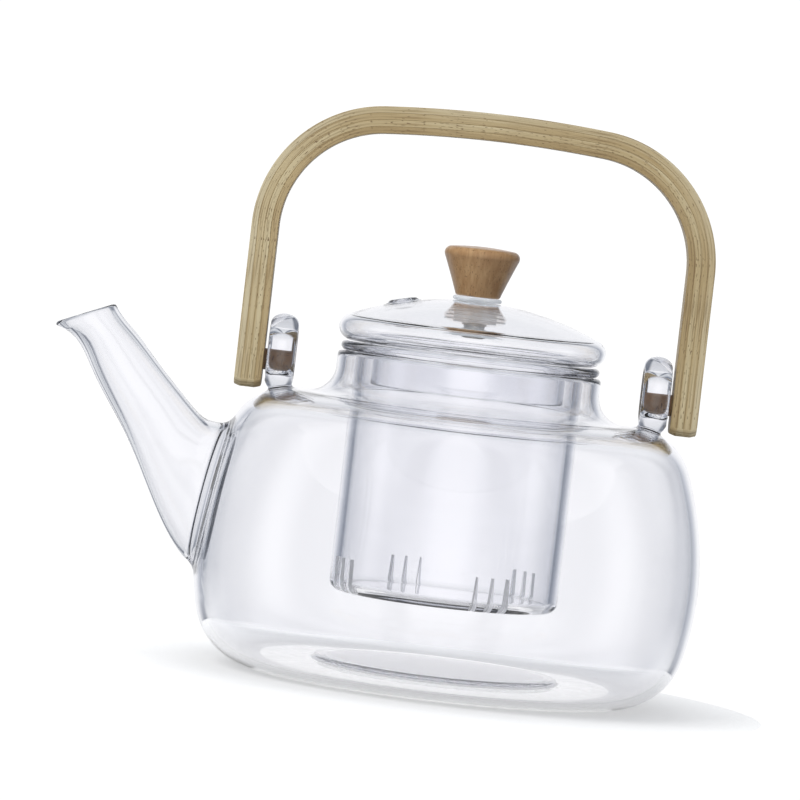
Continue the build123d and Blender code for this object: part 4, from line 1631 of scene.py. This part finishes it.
@dataclass
class Studio:
    """Pale floor, an even bright surround with soft darker flanks, one soft lamp and the camera."""

    floor_radius: float = 0.096
    aim: tuple[float, float, float] = (-0.0189, 0.0, 0.0814)
    camera: tuple[float, float, float] = (-0.0189, -1.5, 0.131)
    tilt: float = 6.6
    lens: float = 232.8
    sky: float = 1.06
    lamp_size: float = 0.9
    lamp_watts: float = 9.0
    lamp_place: tuple[float, float, float] = (-0.75, -0.7, 0.95)

    def floor(self) -> None:
        """A flat disc, point (r cos a, r sin a, 0)."""
        writer = MeshWriter()
        angle = np.linspace(0, 2 * math.pi, 96, endpoint=False)
        reach = np.linspace(0.05, 1, 12)[:, None] * self.floor_radius / MM
        numbers = writer.points(about_axis(reach, angle, 0.0))
        writer.skin(numbers, wrap=True)
        writer.fan(numbers[0], np.zeros(3))
        floor = writer.finish("floor_card", [MattCard("matt_white_card").make()])
        if floor.data.polygons[0].normal.z < 0:
            floor.data.flip_normals()

    def surround(self) -> None:
        """The sky: bright all round, dimmer in soft upright bands to either side of the view.

        The bands stand on the horizon, up to 20 or 30 degrees high, and begin 20 degrees to either
        side of the Y axis, where the edges of a thick glass wall bend a view along Y. The flanks
        above and below are dark only about 23 and 70 degrees from it. What the camera sees
        directly is plain white.
        """
        world = bpy.data.worlds.new("white_surround")
        bpy.context.scene.world = world
        world.use_nodes = True
        tree = world.node_tree
        tree.nodes.clear()
        way = node(tree, "TexCoord", {}, {}).outputs["Generated"]
        split = node(tree, "SeparateXYZ", {}, {"Vector": way}).outputs
        flat = node(tree, "CombineXYZ", {}, {"X": split["X"], "Y": split["Y"]})
        length = node(tree, "VectorMath", {"operation": "LENGTH"}, {0: flat.outputs["Vector"]})
        side = node(tree, "Math", {"operation": "ABSOLUTE"}, {0: split["Y"]})
        cosine = node(
            tree, "Math", {"operation": "DIVIDE"}, {0: side.outputs[0], 1: length.outputs["Value"]}
        ).outputs[0]
        lift = {"From Min": -1.0, "From Max": 1.0}
        height = node(tree, "MapRange", lift, {"Value": split["Z"]}).outputs["Result"]
        tones = {
            "bands": (cosine, {
                0.0: "#F2F3F5", 0.12: "#D9DBE0", 0.26: "#868C97", 0.6: "#858B96", 0.82: "#868C97",
                0.91: "#BCC0C9", 0.955: "#F0F1F4", 1.0: "#FAFAFC",
            }),
            "flanks": (cosine, {
                0.0: "#F4F5F7", 0.14: "#DADCE1", 0.3: "#858B95", 0.5: "#A9AEB8", 0.64: "#EEF0F2",
                0.86: "#F4F5F6", 0.895: "#80858F", 0.945: "#80858F", 0.97: "#FFFFFF",
            }),
            "near": (height, {0.38: "#000000", 0.44: "#FFFFFF", 0.63: "#FFFFFF", 0.76: "#000000"}),
            "levels": (height, {
                0.0: "#B9BCC2", 0.3: "#DADCE0", 0.46: "#FFFFFF", 0.56: "#FFFFFF", 0.85: "#D3D6DB",
                1.0: "#E3E5E8",
            }),
        }
        tone = {
            name: node(tree, "ValToRGB", {"stops": stops}, {"Fac": value}).outputs["Color"]
            for name, (value, stops) in tones.items()
        }
        seen = node(tree, "LightPath", {}, {}).outputs["Is Camera Ray"]
        light = node(
            tree, "Mix", COLOURS, {SHARE: tone["near"], FIRST: tone["flanks"], SECOND: tone["bands"]}
        ).outputs[BLENDED]
        fade = {"blend_type": "MULTIPLY", SHARE: 1.0}
        light = node(
            tree, "Mix", {**COLOURS, **fade}, {FIRST: light, SECOND: tone["levels"]}
        ).outputs[BLENDED]
        light = node(
            tree, "Mix", {**COLOURS, SECOND: "#FFFFFF"}, {SHARE: seen, FIRST: light}
        ).outputs[BLENDED]
        shine = node(tree, "Background", {"Strength": self.sky}, {"Color": light})
        output = node(tree, "OutputWorld", {}, {"Surface": shine.outputs["Background"]})
        output.is_active_output = True

    def lamp(self) -> None:
        """One broad soft lamp from the upper left."""
        data = bpy.data.lights.new("soft_lamp", "AREA")
        data.shape, data.size, data.energy = "DISK", self.lamp_size, self.lamp_watts
        lamp = bpy.data.objects.new("soft_lamp", data)
        lamp.location = self.lamp_place
        ahead = Vector((0, 0, 0.1)) - lamp.location
        lamp.rotation_euler = ahead.to_track_quat("-Z", "Y").to_euler()
        lamp.visible_glossy = False
        lamp.visible_transmission = False
        bpy.context.scene.collection.objects.link(lamp)

    def view(self) -> None:
        """The camera: a long lens at the height of the knob, tilted as it was held."""
        data = bpy.data.cameras.new("camera")
        data.lens, data.sensor_width = self.lens, 36.0
        data.clip_start, data.clip_end = 0.05, 20.0
        camera = bpy.data.objects.new("camera", data)
        look = (Vector(self.aim) - Vector(self.camera)).to_track_quat("-Z", "Y").to_matrix()
        roll = Matrix.Rotation(math.radians(self.tilt), 3, "Z")
        camera.matrix_world = Matrix.Translation(self.camera) @ (look @ roll).to_4x4()
        bpy.context.scene.collection.objects.link(camera)
        bpy.context.scene.camera = camera

    def build(self) -> None:
        """Sets up everything that isn't the pot."""
        self.floor()
        self.surround()
        self.lamp()
        self.view()
        scene = bpy.context.scene
        scene.view_settings.view_transform = "Standard"
        scene.cycles.max_bounces = 32
        scene.cycles.transmission_bounces = 28
        scene.cycles.glossy_bounces = 12
        scene.cycles.diffuse_bounces = 8
        scene.cycles.caustics_refractive = True
        scene.cycles.caustics_reflective = True
        scene.cycles.transparent_max_bounces = 16


# One row per strip of the handle, the outer first: pale tone, warm tone and share of dark specks; the
# inner strip's darker tones are partly painted shade.
STRIP_TONES_AND_SHADE = (
    ("#DFD0AB", "#C4AD7E", 0.2),
    ("#D6C398", "#B59A68", 0.22),
    ("#DDCCA2", "#BEA574", 0.27),
    # Inner strip: darker partly in its own tone and partly as painted shade on the handle's inner side.
    ("#C9B284", "#A68B5C", 0.24),
)


def main() -> None:
    """Builds the pot piece by piece round the frame and reports each."""
    logging.basicConfig(level=logging.INFO, format="%(name)s: %(message)s")
    Studio().build()
    glass = BlownGlass("borosilicate_glass_blown").make()
    ground = GroundGlass("borosilicate_glass_ground").make()
    pressed = GroundGlass(
        "borosilicate_glass_pressed", roughness=0.16, clearness=0.9, scatter=0.02
    ).make()
    silicone = ClearSilicone("silicone_clear").make()
    steel = TurnedMetal("stainless_steel_turned").make()
    PotGlass().build(glass, pressed)
    Cup().build(glass, ground)
    lid = Lid()
    lid.build(glass)
    knob = Knob()
    knob.wood(LacqueredBeech("beech_lacquered").make())
    knob.screw(steel)
    knob.plate_washer(steel)
    knob.gasket(silicone, lid.dome_height)
    knob.bush(silicone, lambda radius: lid.dome_height(radius, lid.wall))
    handle = Handle()
    for number, (pale, warm, share) in enumerate(STRIP_TONES_AND_SHADE):
        bamboo = OiledBamboo(f"bamboo_oiled_{number + 1}", pale=pale, warm=warm, speck_share=share)
        handle.strip(number, bamboo.make())
    # Painted shade: the pegs' darker browns are partly the dowel's own wood and partly the shade they sit
    # in behind the glass lugs.
    peg_wood = LacqueredBeech(
        "dowel_oiled_painted_shade", pale="#A8845E", warm="#8A6846", fleck="#5E452E", roughness=(0.4, 0.55), coat=0.1
    ).make()
    for side in (-1, 1):
        handle.peg(side, peg_wood)
    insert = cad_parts["knob_insert"]
    insert.data.materials.clear()
    insert.data.materials.append(
        TurnedMetal("brass_turned", tint="#C2A15A", roughness=(0.25, 0.4)).make()
    )


if __name__ == "__main__":
    main()
